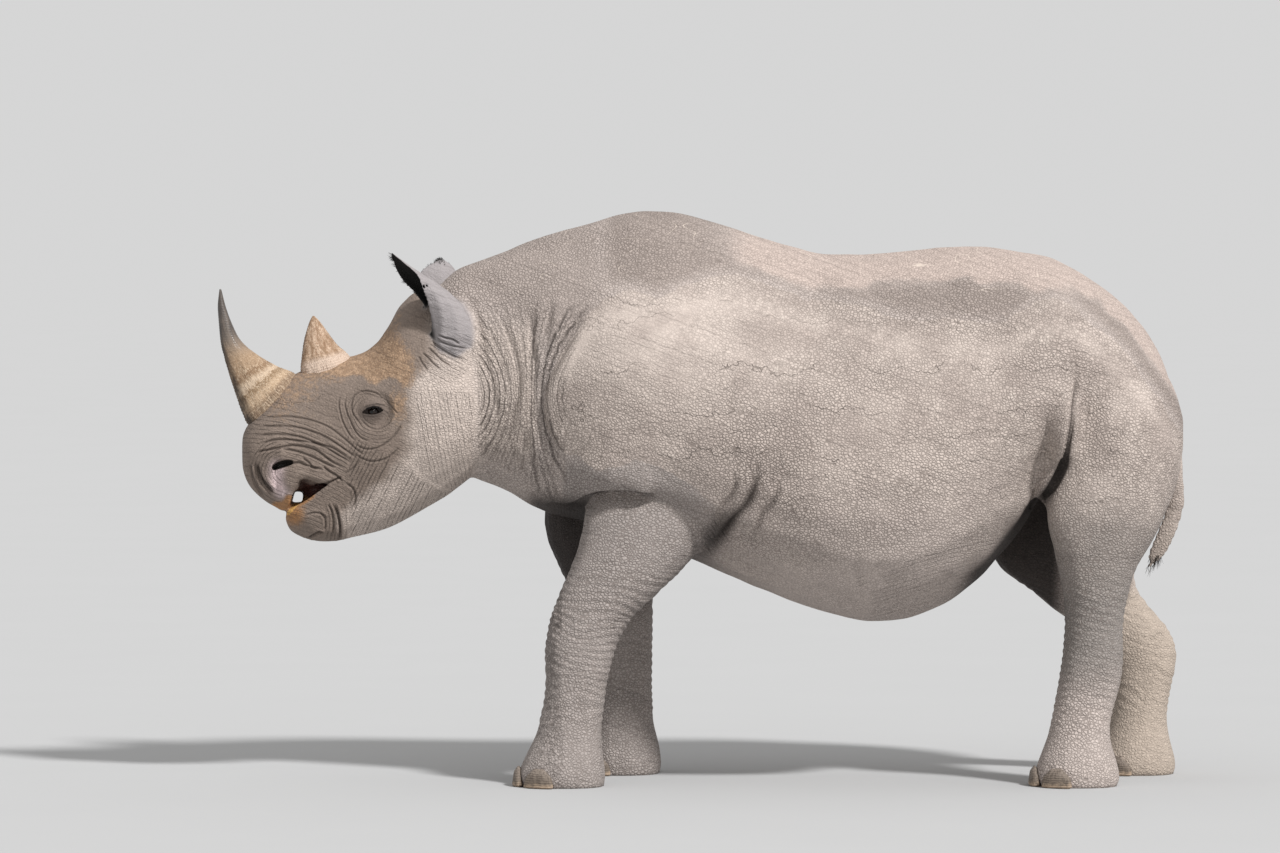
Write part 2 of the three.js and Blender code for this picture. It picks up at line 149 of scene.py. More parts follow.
flesh_points = []
flesh_faces = []
face_owner = []
for name in filled_names:
    solid = welded(name)
    start = len(flesh_points)
    flesh_points += [vert.co + vert.normal * GROWTH for vert in solid.verts]
    flesh_faces += [[start + vert.index for vert in face.verts] for face in solid.faces]
    face_owner += [name] * len(solid.faces)
    solid.free()
finder = BVHTree.FromPolygons(flesh_points, flesh_faces)

SOFT_PARTS = [
    ((-1120, 0, 872), (52, 80, 34)),
    ((-1187, 70, 872), (30, 34, 36)),
    ((-1190, 0, 880), (30, 70, 36)),
    ((1035, 325, 1060), (45, 100, 130)),
    ((1010, 235, 940), (60, 95, 130)),
    ((-1163, 0, 790), (46, 45, 16)),
    ((-1166, 0, 856), (36, 55, 21)),
]
ball = bmesh.new()
bmesh.ops.create_icosphere(ball, subdivisions=4, radius=1)
for middle, radii in SOFT_PARTS:
    for side in (-1, 1) if middle[1] else (1,):
        place = Vector((middle[0] / 1000, side * middle[1] / 1000, middle[2] / 1000))
        size = Vector([radius / 1000 for radius in radii])
        start = len(flesh_points)
        flesh_points += [place + vert.co * size for vert in ball.verts]
        flesh_faces += [[start + vert.index for vert in face.verts] for face in ball.faces]
ball.free()
print("flesh solids:", len(flesh_names), "faces:", len(flesh_faces))

# %% [markdown]
# ## One hide over all of it
# A voxel remesh wraps all the solids in one closed surface of small squares. The head needs much
# smaller squares than the flank, so the points are first moved away from the middle of the head,
# as through a magnifying glass, remeshed at one size, and moved back. The head then has squares
# of about 4 mm and the body of 7 to 10 mm.

# %% Remesh through a magnifying glass
SQUARE = 0.011
MAGNIFIED = 2.9
head_low, head_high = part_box("head")
BELOW_MIDDLE = 0.02
glass_x, glass_z = (head_low.x + head_high.x) / 2, (head_low.z + head_high.z) / 2 - BELOW_MIDDLE
GLASS_CENTRE = np.array([glass_x, 0, glass_z])
near = np.linspace(0, 5, 4001)
stretch = 1 + (MAGNIFIED - 1) * (1 - ramp(0.50, 0.85, near))
far = np.concatenate([[0], np.cumsum((stretch[1:] + stretch[:-1]) / 2 * np.diff(near))])


def through_glass(points, from_reach, to_reach):
    away = points - GLASS_CENTRE
    reach = np.linalg.norm(away, axis=1, keepdims=True)
    return GLASS_CENTRE + away * np.interp(reach, from_reach, to_reach) / np.maximum(reach, 1e-9)


def new_mesh(name, points, faces):
    """A mesh from arrays of points and of faces that all have as many corners."""
    mesh = bpy.data.meshes.new(name)
    corners = faces.shape[1]
    mesh.vertices.add(len(points))
    mesh.vertices.foreach_set("co", np.asarray(points, np.float32).ravel())
    mesh.loops.add(faces.size)
    mesh.loops.foreach_set("vertex_index", faces.astype(np.int32).ravel())
    mesh.polygons.add(len(faces))
    mesh.polygons.foreach_set("loop_start", np.arange(0, faces.size, corners, dtype=np.int32))
    mesh.update(calc_edges=True)
    mesh.validate()
    return mesh


def shade_smooth(mesh):
    mesh.polygons.foreach_set("use_smooth", np.ones(len(mesh.polygons), bool))


def new_object(name, data):
    piece = bpy.data.objects.new(name, data)
    bpy.context.scene.collection.objects.link(piece)
    return piece


def points_and_corners(mesh):
    """Arrays of a mesh's points and of the points at its faces' corners, face after face."""
    flat = np.empty(len(mesh.vertices) * 3, np.float32)
    mesh.vertices.foreach_get("co", flat)
    corners = np.empty(len(mesh.loops), np.int32)
    mesh.loops.foreach_get("vertex_index", corners)
    return flat.reshape(-1, 3).astype(float), corners


def remeshed(points, faces, size):
    """The points and square faces of a closed surface wrapped round the given one."""
    draft = new_object("draft", bpy.data.meshes.new("draft"))
    draft.data.from_pydata([tuple(point) for point in points], [], faces)
    wrap = draft.modifiers.new("wrap", "REMESH")
    wrap.mode = "VOXEL"
    wrap.voxel_size = size
    evaluated = draft.evaluated_get(bpy.context.evaluated_depsgraph_get())
    wrapped = bpy.data.meshes.new_from_object(evaluated)
    wrapped_points, corners = points_and_corners(wrapped)
    bpy.data.objects.remove(draft)
    bpy.data.meshes.remove(wrapped)
    return wrapped_points, corners.reshape(-1, 4)


def edges_of(faces):
    corners = faces.shape[1]
    pairs = np.vstack([faces[:, [side, (side + 1) % corners]] for side in range(corners)])
    return np.unique(np.sort(pairs, axis=1), axis=0)


def largest_part(points, faces):
    """Drops all but the largest connected part."""
    edges = edges_of(faces)
    label = np.arange(len(points))
    while True:
        lowest = np.minimum(label[edges[:, 0]], label[edges[:, 1]])
        spread = label.copy()
        np.minimum.at(spread, edges[:, 0], lowest)
        np.minimum.at(spread, edges[:, 1], lowest)
        np.minimum.at(spread, label[edges[:, 0]], lowest)
        np.minimum.at(spread, label[edges[:, 1]], lowest)
        spread = spread[spread]
        if (spread == label).all():
            break
        label = spread
    kept = label == np.bincount(label).argmax()
    number = np.cumsum(kept) - 1
    return points[kept], number[faces[kept[faces[:, 0]]]]


stretched = through_glass(np.array(flesh_points), near, far)
hide_points, hide_faces = remeshed(stretched, flesh_faces, SQUARE)
hide_points = through_glass(hide_points, far, near)
hide_points, hide_faces = largest_part(hide_points, hide_faces)
print("hide squares:", len(hide_faces))

# %% [markdown]
# ## Rounding the facets
# Each point is moved, again and again, towards the middle of its neighbours. That melts the flat
# facets and the joins between solids. It also shrinks the body a little, so what was lost is
# measured, smoothed in the same way and given back. The trunk takes a lot of this and the ears,
# lips and tail very little: how much depends on the solid that a point came from.

# %% Smooth by region
def neighbours_of(points, faces):
    edges = edges_of(faces)
    both = np.vstack([edges, edges[:, ::-1]])
    both = both[np.argsort(both[:, 0], kind="stable")]
    counts = np.bincount(both[:, 0], minlength=len(points))
    return both[:, 1], np.concatenate([[0], np.cumsum(counts)[:-1]]), counts


def relaxed(values, around, amount, rounds):
    """Moves each value towards the mean of its neighbours' values."""
    other, starts, counts = around
    amount = np.broadcast_to(amount, len(counts))
    if values.ndim == 2:
        counts, amount = counts[:, None], amount[:, None]
    for _ in range(rounds):
        mean = np.add.reduceat(values[other], starts, axis=0) / counts
        values = values + amount * (mean - values)
    return values


def owner_at(points):
    names = sorted(set(face_owner))
    number = {name: index for index, name in enumerate(names)}
    owners = [number[face_owner[finder.find_nearest(Vector(point))[2]]] for point in points]
    return np.array(names)[owners]


SMOOTHING = {
    "tail": 0.04,
    "trunk": 0.5,
    "neck": 0.5,
    "head": 0.32,
    "lower_jaw": 0.25,
    "ear": 0.06,
    "upper": 0.32,
    "lower": 0.12,
    "foot": 0.06,
    "eye": 0.2,
}


def smoothing_for(name):
    return next(amount for word, amount in SMOOTHING.items() if word in name)


owner = owner_at(hide_points)
amount_by_name = {name: smoothing_for(name) for name in set(owner)}
amount = np.array([amount_by_name[name] for name in owner])
around = neighbours_of(hide_points, hide_faces)
amount = relaxed(amount, around, 0.5, 12)

mouth_x, mouth_z = head_low.x + 0.21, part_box("lower_jaw")[0].z + 0.14
from_mouth = np.hypot(hide_points[:, 0] - mouth_x, (hide_points[:, 2] - mouth_z) * 1.2)
amount *= 1 - 0.85 * (1 - ramp(0.05, 0.13, from_mouth))

faceted = hide_points.copy()
rounds = 110
smoothed = relaxed(hide_points, around, amount, rounds)
given_back = relaxed(hide_points - smoothed, around, np.maximum(amount, 0.1), rounds)
hide_points = smoothed + given_back
print("moved by rounding, mm:", round(1000 * np.abs(hide_points - faceted).max(), 1))

# %% [markdown]
# ## Finer squares where the face is finest
# The lids, nostrils and lips have edges only a few millimetres thick. The squares around them are
# split once, and round the eyes twice. So are the squares along the body's three sharpest creases:
# before the thigh, under the elbow and behind the foreleg. From here on the hide is kept as
# triangles, which any split leaves whole.

# %% Split the squares round the eyes, nostrils and lips
EYE = {}
for side, word in SIDES:
    low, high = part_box("eye_" + word)
    EYE[side] = np.array((low + high) / 2)
EYE_RADIUS = (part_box("eye_left")[1].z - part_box("eye_left")[0].z) / 2
NOSTRIL = np.array([head_low.x + 0.123, 0.917])

# Lines on the hide are seen from the side, as (x, z) in millimetres. Where a line stands in a row
# with two numbers before it, they are its depth and its width in tenths of a millimetre.
ELBOW_SHELF = [
    (-455, 800), (-400, 820), (-350, 832), (-300, 852), (-255, 864), (-200, 864), (-160, 855),
    (-125, 838),
]
THIGH_CREASE = [
    (1073, 1210), (1068, 1150), (1060, 1090), (1052, 1030), (1042, 970), (1030, 925), (1012, 885),
    (990, 848), (966, 812), (948, 788),
]
ARMPIT_CREASES = [
    (140, 120, [(160, 960), (150, 880), (122, 815), (80, 765), (45, 715), (-5, 655)]),
    (70, 90, [(225, 900), (206, 835), (165, 775), (135, 705)]),
    (60, 80, [(90, 930), (92, 870), (70, 825), (15, 765)]),
]
ARMPIT_LINES = [line for _, _, line in ARMPIT_CREASES]


def near_lines(points, lines, reach):
    """True for points that lie near one of the lines, seen from the side."""
    close = np.zeros(len(points), bool)
    for line in lines:
        for place in drawn_line(line, 34):
            close |= np.hypot(points[:, 0] - place[0], points[:, 2] - place[1]) < reach
    return close & (np.abs(points[:, 1]) > 0.14)


def round_a_spot(points, x, z, reach, off_middle):
    """True near a spot seen from the side, on skin that is well off the middle plane."""
    close = np.hypot(points[:, 0] - x, points[:, 2] - z) < reach
    return close & (np.abs(points[:, 1]) > off_middle)


def by_the_eye(points):
    """True where the hide needs its smallest triangles."""
    creased = near_lines(points, [ELBOW_SHELF, THIGH_CREASE], 0.022)
    return creased | round_a_spot(points, EYE[1][0], EYE[1][2], 0.045, 0.10)


def delicate(points):
    """True where the hide needs small triangles."""
    nose = round_a_spot(points, *NOSTRIL, 0.055, 0.05)
    lips = np.hypot((points[:, 0] - mouth_x) * 0.75, points[:, 2] - mouth_z) < 0.068
    rings = round_a_spot(points, EYE[1][0], EYE[1][2], 0.10, 0.09)
    creased = near_lines(points, [ELBOW_SHELF, THIGH_CREASE, *ARMPIT_LINES], 0.040)
    front = (points[:, 0] < -0.86) & (points[:, 2] < 1.15) & (np.abs(points[:, 1]) > 0.05)
    ear_foot = round_a_spot(points, -0.735, 1.245, 0.085, 0.08)
    return creased | front | ear_foot | rings | nose | lips


def split_where(points, faces, *chosen_in_turn):
    fine = bmesh.new()
    fine.from_mesh(new_mesh("fine", points, faces))
    for chosen in chosen_in_turn:
        fine.verts.ensure_lookup_table()
        places = np.array([vert.co for vert in fine.verts])
        inside = chosen(places)
        edges = [edge for edge in fine.edges if all(inside[vert.index] for vert in edge.verts)]
        bmesh.ops.subdivide_edges(fine, edges=edges, cuts=1, use_grid_fill=True, smooth=0.6)
        fine.verts.index_update()
    bmesh.ops.triangulate(fine, faces=fine.faces)
    fine.verts.index_update()
    new_points = np.array([vert.co for vert in fine.verts])
    new_faces = np.array([[vert.index for vert in face.verts] for face in fine.faces])
    fine.free()
    return new_points, new_faces


hide_points, hide_faces = split_where(hide_points, hide_faces, delicate, by_the_eye)
print("hide triangles:", len(hide_faces))


def surface_normals(points, faces):
    a, b, c = (points[faces[:, corner]] for corner in range(3))
    across = np.cross(b - a, c - a)
    total = np.stack([
        sum(np.bincount(faces[:, corner], across[:, axis], len(points)) for corner in range(3))
        for axis in range(3)
    ], axis=1)
    return total / np.maximum(np.linalg.norm(total, axis=1, keepdims=True), 1e-12)


# %% [markdown]
# ## Which part of the body a point is on
# The masks and the sculpting both need to know where they are: a word for the solid that lies
# nearest, kept as one soft mask for each part, so that nothing ends in a hard line.

# %% Soft masks of the parts
owner = owner_at(hide_points)
around = neighbours_of(hide_points, hide_faces)


def part_mask(*words, blur=8):
    hard = np.array([float(any(word in name for word in words)) for name in owner])
    return relaxed(hard, around, 0.5, blur)


on_trunk = part_mask("trunk", blur=14)
on_head = part_mask("head", "lower_jaw", "eye")
on_ear = part_mask("ear_", blur=5)
on_foreleg = part_mask("foreleg", blur=14)
on_hindleg = part_mask("hindleg", blur=14)
on_foot = part_mask("foot", blur=8)
on_tail = part_mask("tail", blur=4)
print("parts:", sorted(set(owner))[:4], "...")

# %% [markdown]
# ## Sculpting tools
# A real hide folds where it is pressed together. A fold is a line seen from the side, with a
# valley along it and a soft roll on one or both sides. A shelf is a roll that hangs over what
# lies below it. A swell is a rounded bump or, with a minus sign, a hollow. Each of them moves the
# points of the hide along its normals, and the valleys are remembered, to be painted darker as
# dirt that gathers there and as painted shade.

# %% Fold, shelf and swell
valley = np.zeros(len(hide_points))
normals = surface_normals(hide_points, hide_faces)


def across_and_along(line, reach):
    """Points near a line of (x, z) places: how far above or behind it, and the share along it."""
    curve = drawn_line(line, 40)
    flat = hide_points[:, [0, 2]]
    chosen = np.flatnonzero(((flat > curve.min(0) - reach) & (flat < curve.max(0) + reach)).all(1))
    gap = flat[chosen, None] - curve[None, :-1]
    run = np.diff(curve, axis=0)
    share = np.clip((gap * run).sum(2) / (run**2).sum(1), 0, 1)
    distance = np.linalg.norm(gap - share[..., None] * run, axis=2)
    best = distance.argmin(1)
    rows = np.arange(len(chosen))
    turn = run[best, 0] * gap[rows, best, 1] - run[best, 1] * gap[rows, best, 0]
    along = (best + share[rows, best]) / (len(curve) - 1)
    return chosen, np.sign(turn) * distance[rows, best], along


def darken(chosen, amount):
    """Remembers a valley's dirt and painted shade wherever it is deeper than what is there."""
    valley[chosen] = np.maximum(valley[chosen], amount)


def raise_hide(chosen, height):
    hide_points[chosen] += normals[chosen] * height[:, None]


def fade_ends(along, end):
    first, last = end if isinstance(end, tuple) else (end, end)
    return ramp(0, first, along) * ramp(1, 1 - last, along)


def fold(line, depth, width, roll=0, roll_back=0, end=0.2, sides=(-1, 1), dark=None):
    """A valley along a line drawn downwards or backwards, with a roll ahead of it and behind it."""
    chosen, across, along = across_and_along(line, width * 5)
    for side in sides:
        facing = ramp(0.05, 0.35, side * normals[chosen, 1]) * fade_ends(along, end)
        ahead, behind = (bell(across + shift * width, 1.3 * width) for shift in (2, -2))
        wave = -depth * bell(across, width)
        wave += roll * ahead + roll_back * behind
        raise_hide(chosen, wave * facing)
        dirt_and_shade = min(1, depth / 0.012) if dark is None else dark
        darken(chosen, facing * bell(across, width * 0.8) * dirt_and_shade)


def shelf(line, out, under, edge, reach_out, reach_under, end=0.15, sides=(-1, 1)):
    """A roll above a line drawn backwards, overhanging a hollow below it."""
    chosen, across, along = across_and_along(line, max(reach_out, reach_under) * 2.5)
    for side in sides:
        facing = ramp(0.0, 0.3, side * normals[chosen, 1]) * fade_ends(along, end)
        above = out * ramp(-edge, edge * 0.3, across) * bell(np.maximum(across, 0), reach_out)
        below = -under * ramp(edge, -edge * 0.3, across) * bell(np.minimum(across, 0), reach_under)
        raise_hide(chosen, (above + below) * facing)
        # The hollow under the roll is kept for painted shade.
        shade = facing * ramp(edge * 0.6, -edge * 0.5, across)
        darken(chosen, shade * bell(np.minimum(across + edge, 0), edge * 1.6))


def swell(x, y, z, radius, height, tall=1.0):
    """A rounded bump on both sides of the body."""
    for side in (-1, 1):
        away = hide_points - [x, side * y, z]
        reach = np.sqrt(away[:, 0]**2 + away[:, 1]**2 + (away[:, 2] / tall)**2)
        chosen = np.flatnonzero(reach < 2.6 * radius)
        raise_hide(chosen, height * bell(reach[chosen], radius))


# %% [markdown]
# ## The body's forms and folds
# Under the thick hide lie the shoulder blade, the hip bones and the spine. Over them it hangs in
# folds: one stands up in front of the shoulder, one rolls over the elbow, and a deep one runs up
# between belly and thigh. The folds of the neck lean apart at the top like a fan.

# %% Sculpt the body
swell(-0.27, 0.33, 1.18, 0.20, 0.010)
swell(0.03, 0.38, 1.20, 0.14, -0.008, tall=1.6)
swell(0.76, 0.24, 1.47, 0.07, 0.012)
swell(0.80, 0.36, 1.29, 0.11, -0.012)
swell(1.12, 0.36, 1.02, 0.18, 0.010, tall=1.3)
swell(1.03, 0.33, 0.72, 0.09, 0.012, tall=1.2)
swell(0.42, 0.45, 0.80, 0.28, 0.006)
swell(0.945, 0.31, 0.790, 0.080, 0.030)
swell(0.985, 0.38, 1.000, 0.065, 0.010, tall=1.7)
swell(1.110, 0.38, 1.000, 0.060, -0.010, tall=1.7)

NECK_FOLDS = [
    (220, 170, [
        (-325, 1376), (-372, 1306), (-427, 1212), (-460, 1149), (-464, 1047), (-428, 955),
        (-385, 880),
    ]),
    (110, 110, [(-505, 1400), (-489, 1306), (-482, 1212), (-486, 1133), (-497, 1039), (-528, 930)]),
    (70, 100, [(-603, 1408), (-568, 1322), (-536, 1227), (-528, 1133), (-552, 1039), (-583, 940)]),
    (60, 100, [
        (-717, 1450), (-662, 1384), (-638, 1306), (-619, 1212), (-595, 1118), (-591, 1039),
        (-618, 950),
    ]),
    (80, 110, [(-430, 1420), (-440, 1330), (-452, 1250), (-470, 1180)]),
    (90, 100, [(-560, 1000), (-530, 930), (-500, 870), (-470, 820)]),
]
for depth, width, line in NECK_FOLDS:
    depth, width = depth / 10000, width / 10000
    fold(line, depth * 0.70, width, roll=depth * 0.20, roll_back=depth * 0.25, end=0.32)
valley *= 0.10
normals = surface_normals(hide_points, hide_faces)

shelf(ELBOW_SHELF, 0.022, 0.030, 0.005, 0.060, 0.045, end=0.20, sides=(-1,))
shelf(ELBOW_SHELF, 0.014, 0.012, 0.008, 0.060, 0.050, end=0.24, sides=(1,))
for depth, width, line in ARMPIT_CREASES:
    depth, width = depth / 10000, width / 10000
    fold(line, depth, width, roll=0.4 * depth, roll_back=0.4 * depth, end=0.35)
fold(THIGH_CREASE, 0.013, 0.0080, roll=0.003, roll_back=0.001, end=(0.22, 0.03), sides=(-1,))
fold(THIGH_CREASE[:7], 0.012, 0.0100, roll=0.003, end=0.45, sides=(1,))
normals = surface_normals(hide_points, hide_faces)
fold(THIGH_CREASE[1:], 0.015, 0.0120, roll=0.004, end=(0.40, 0.03), sides=(-1,))
normals = surface_normals(hide_points, hide_faces)

# %% [markdown]
# ## The head's forms
# The skull shows in the brow, the ridge under the eye and the cheek. The muzzle is soft: round
# wings of skin lie about the nostrils, a groove runs down in front of them, and the lower lip and
# the chin are pads with creases between them.

# %% Sculpt the head
eye_x, eye_z = EYE[1][0], EYE[1][2]
swell(eye_x + 0.004, 0.125, eye_z + 0.060, 0.036, 0.010)
swell(eye_x + 0.020, 0.150, eye_z - 0.062, 0.050, 0.004)
swell(eye_x + 0.20, 0.185, eye_z - 0.10, 0.085, 0.008)
swell(eye_x - 0.115, 0.135, eye_z - 0.03, 0.055, -0.005)
swell(NOSTRIL[0] + 0.002, 0.105, NOSTRIL[1] + 0.026, 0.020, 0.006)
swell(NOSTRIL[0] + 0.036, 0.105, NOSTRIL[1] - 0.022, 0.020, 0.007)
swell(NOSTRIL[0] + 0.026, 0.100, NOSTRIL[1] - 0.050, 0.018, 0.005)
swell(-1.150, 0.080, 0.765, 0.034, 0.006)
swell(-1.085, 0.075, 0.722, 0.034, 0.006)
swell(-1.100, 0.110, 0.893, 0.026, 0.008)

FACE_FOLDS = [
    (130, 60, [(-1287, 925), (-1280, 892), (-1269, 870), (-1252, 850), (-1238, 832)]),
    (50, 35, [(-1306, 925), (-1300, 890), (-1286, 852), (-1264, 820)]),
    (90, 38, [(-1172, 682), (-1140, 700), (-1108, 719), (-1090, 716)]),
    (100, 42, [(-1062, 806), (-1050, 774), (-1044, 735), (-1046, 700), (-1056, 672)]),
    (50, 34, [(-1080, 806), (-1066, 780), (-1062, 745), (-1068, 705)]),
    (40, 30, [(-1104, 782), (-1090, 765), (-1086, 742), (-1092, 724)]),
    (30, 28, [(-1150, 768), (-1120, 778), (-1095, 774), (-1078, 758)]),
    (20, 30, [(-1035, 890), (-1010, 905), (-990, 925), (-978, 945)]),
    (40, 34, [(-1030, 868), (-1005, 850), (-998, 820), (-1005, 790)]),
    (50, 34, [(-1190, 920), (-1164, 924), (-1145, 918), (-1121, 911), (-1085, 904)]),
    (40, 30, [(-1154, 940), (-1133, 924), (-1121, 911), (-1104, 907)]),
    (60, 34, [(-1095, 916), (-1071, 898), (-1050, 886), (-1034, 868)]),
    (50, 32, [
        (-1288, 941), (-1273, 956), (-1246, 961), (-1199, 971), (-1164, 973), (-1112, 960),
        (-1065, 927), (-1019, 904),
    ]),
    (40, 30, [(-1219, 964), (-1184, 960), (-1133, 945), (-1079, 920), (-1050, 908)]),
    (45, 30, [(-1300, 970), (-1225, 990), (-1150, 986), (-1085, 974), (-1050, 960), (-1000, 925)]),
    (40, 32, [(-1304, 997), (-1238, 1006), (-1165, 1000), (-1099, 976), (-1045, 946), (-997, 918)]),
    (35, 30, [
        (-1298, 1024), (-1226, 1030), (-1159, 1024), (-1093, 1003), (-1033, 967), (-973, 924),
    ]),
    (30, 30, [
        (-1280, 1051), (-1214, 1057), (-1147, 1051), (-1081, 1030), (-1033, 997), (-997, 967),
        (-961, 937),
    ]),
    (80, 34, [(-1120, 855), (-1090, 862), (-1060, 874), (-1034, 886)]),
    (50, 30, [(-763, 1298), (-740, 1287), (-714, 1281), (-693, 1266)]),
    (40, 28, [(-765, 1291), (-750, 1276), (-727, 1266), (-697, 1259), (-669, 1253)]),
    (40, 28, [(-778, 1281), (-761, 1264), (-740, 1249), (-708, 1232), (-676, 1223)]),
    (40, 28, [(-791, 1259), (-769, 1242), (-744, 1219), (-714, 1202)]),
    (40, 28, [(-806, 1245), (-786, 1228), (-769, 1210), (-746, 1193)]),
    (30, 28, [(-816, 1236), (-803, 1213), (-786, 1191)]),
    (30, 30, [(-1010, 985), (-965, 965), (-920, 975), (-880, 1010), (-858, 1050)]),
    (30, 30, [(-1010, 955), (-955, 930), (-905, 940), (-865, 975)]),
    (35, 24, [
        (-981, 1054), (-970, 1039), (-950, 1025), (-930, 1024), (-910, 1032), (-896, 1045),
        (-894, 1059),
    ]),
    (30, 23, [
        (-973, 1027), (-989, 1044), (-1003, 1065), (-1009, 1085), (-1004, 1114), (-989, 1127),
        (-970, 1132), (-950, 1130), (-930, 1122), (-916, 1105),
    ]),
    (30, 24, [
        (-1021, 1125), (-1028, 1095), (-1023, 1072), (-1013, 1047), (-996, 1014), (-974, 994),
        (-945, 990),
    ]),
    (30, 25, [
        (-1040, 1123), (-1046, 1095), (-1042, 1069), (-1033, 1040), (-1013, 1005), (-990, 982),
    ]),
    (25, 24, [(-910, 1107), (-891, 1087), (-873, 1065)]),
    (25, 22, [(-921, 1084), (-910, 1074), (-900, 1065)]),
]
for depth, width, line in FACE_FOLDS:
    depth, width = depth / 10000, width / 10000
    roll, dark = depth * 0.30, 0.55 + 30 * depth
    fold(line, depth, width, roll=roll, roll_back=roll, end=0.18, dark=dark)
normals = surface_normals(hide_points, hide_faces)

# %% [markdown]
# ## Lids and rings round the eye
# Seen from the side, the skin near the eye is a height over the plane of the head. It is laid over
# the ball as a lid, left open along an almond-shaped slit, where it drops behind the ball's
# surface, and rolled into rings that fade away from the eye. The rings lie closer behind the eye
# than ahead of it.

# %% Shape the lids
LID_LONG, LID_AHEAD, LID_UP, LID_DOWN = 0.0250, 0.0340, 0.0125, 0.0085
LID_THICK, BALL_DEPTH = 0.0048, 0.0075
RING_HEIGHT, RING_SPACING = 0.0008, 0.0185
lash_root = np.zeros(len(hide_points))
for side in (-1, 1):
    centre = EYE[side]
    along = hide_points[:, 0] - centre[0]
    up = hide_points[:, 2] - centre[2]
    outward = side * hide_points[:, 1]
    near_eye = (np.hypot(along, up) < 0.12) & (outward > 0.08)
    chosen = np.flatnonzero(near_eye & (side * normals[:, 1] > 0.15))
    along, up, outward = along[chosen], up[chosen], outward[chosen]
    along, up = along - 0.002, up - 0.002 - 0.10 * along
    reach = np.hypot(along, up)
    bulge = np.sqrt(np.maximum(EYE_RADIUS**2 - reach**2, 0))
    ball = side * centre[1] + np.maximum(bulge, EYE_RADIUS - BALL_DEPTH)
    lid = side * centre[1] + EYE_RADIUS + LID_THICK - 0.5 * reach**2 / 0.055
    shaped = outward + (lid - outward) * ramp(0.062, 0.026, reach)
    corner = np.abs(along) / np.where(along < 0, LID_AHEAD, LID_LONG)
    bow = np.maximum(1 - corner**2, 0) ** 0.8
    inside = np.minimum(LID_UP * bow - up, up + LID_DOWN * bow)
    open_slit = ramp(-0.0008, 0.0016, inside) * (corner < 1)
    rim = bell(inside + 0.0035, 0.0028) * ramp(1.15, 0.8, corner)
    crease_bow = np.maximum(1 - (along / 0.042)**2, 0)
    lid_crease = bell(up - 0.0070 - LID_UP * crease_bow, 0.0019)
    lid_crease *= ramp(0.037, 0.022, np.abs(along))
    shaped += (0.0018 + 0.0022 * (up > 0)) * rim - 0.0022 * lid_crease
    drawn = np.hypot(along * 0.90, up * np.where(up < 0, 0.95, 1.10)) - 0.14 * (along - 0.6 * up)
    drawn += 0.0045 * lumps(hide_points[chosen], 0.035, 31)
    slant = 0.75 * (0.8 * along + 0.6 * up) / np.maximum(reach, 1e-4)
    ahead_below = np.clip(0.50 - slant, 0.15, 1)
    ahead_below *= 0.70 + 0.45 * lumps(hide_points[chosen], 0.028, 33)
    rings = np.sin((drawn - 0.020) / RING_SPACING * 2 * math.pi)
    rings = 1 - 2 * np.abs(0.5 - 0.5 * rings) ** 2.5
    ring_height = RING_HEIGHT * ahead_below * ramp(0.024, 0.046, drawn)
    ring_height *= ramp(0.105, 0.060, drawn)
    ring_height *= ramp(0.10, -0.02, up)
    shaped += rings * ring_height
    shaped = np.where(open_slit > 0, shaped + (ball - 0.0035 - shaped) * open_slit, shaped)
    hide_points[chosen, 1] = side * shaped
    upper_rim = bell(inside + 0.0012, 0.0011) * (up > 0)
    lash_root[chosen] = upper_rim * ramp(LID_LONG, LID_LONG * 0.7, np.abs(along))
    # The valleys of the rings, the slit round the ball and the lid's crease are kept for painted
    # shade.
    darken(chosen, 0.25 * ramp(0.2, 1, -rings) * ring_height / RING_HEIGHT)
    darken(chosen, ramp(-0.0045, 0.0005, inside) * (corner < 1.05))
    darken(chosen, 0.9 * lid_crease)
normals = surface_normals(hide_points, hide_faces)

# %% [markdown]
# ## The nostrils
# A nostril is a slit that rises to the back under a thick wing of skin. Its opening goes in a few
# centimetres, and a moist channel runs down from it to the lip. The points inside the slit are
# pushed straight into the head, deeper towards its middle line, which leaves a crisp rim. The
# opening is painted dark as well, as painted shade.

# %% Open the nostrils
NOSTRIL_LINE = [(-1240, 903), (-1226, 913), (-1204, 921), (-1176, 926)]
CHANNEL_LINE = [(-1226, 908), (-1228, 885), (-1224, 860), (-1214, 838)]


def push_in(chosen, depth):
    """Moves points straight in, towards the middle plane, except where they lie near it."""
    place = hide_points[chosen, 1]
    hide_points[chosen, 1] -= np.sign(place) * depth * (np.abs(place) > 0.05)


in_channel, across, along = across_and_along(CHANNEL_LINE, 0.05)
hollow = bell(across, 0.0120) * ramp(0, 0.15, along) * ramp(1, 0.7, along)
push_in(in_channel, 0.005 * hollow)
in_slit, across, along = across_and_along(NOSTRIL_LINE, 0.05)
wide = 0.0115 * np.sqrt(np.maximum(1 - (2 * along - 1) ** 2, 0.02))
opened = ramp(1.15, 0.55, np.abs(across) / wide) * ramp(0, 0.08, along) * ramp(1, 0.92, along)
opened *= (np.abs(hide_points[in_slit, 1]) > 0.05) * (np.abs(normals[in_slit, 1]) > 0.2)
push_in(in_slit, 0.030 * opened)
# The opening is kept for painted shade.
darken(in_slit, opened)
nostril_shade = np.zeros(len(hide_points))
nostril_shade[in_slit] = opened
normals = surface_normals(hide_points, hide_faces)
print("points in the nostrils:", int((nostril_shade > 0.5).sum()))

# %% [markdown]
# ## Lips, legs and the skin's own unevenness
# The lips end in rolls along the mouth. The legs carry shallow rings of skin, and the whole hide is
# a little uneven. The soles stay flat on the floor, as the solids have them.

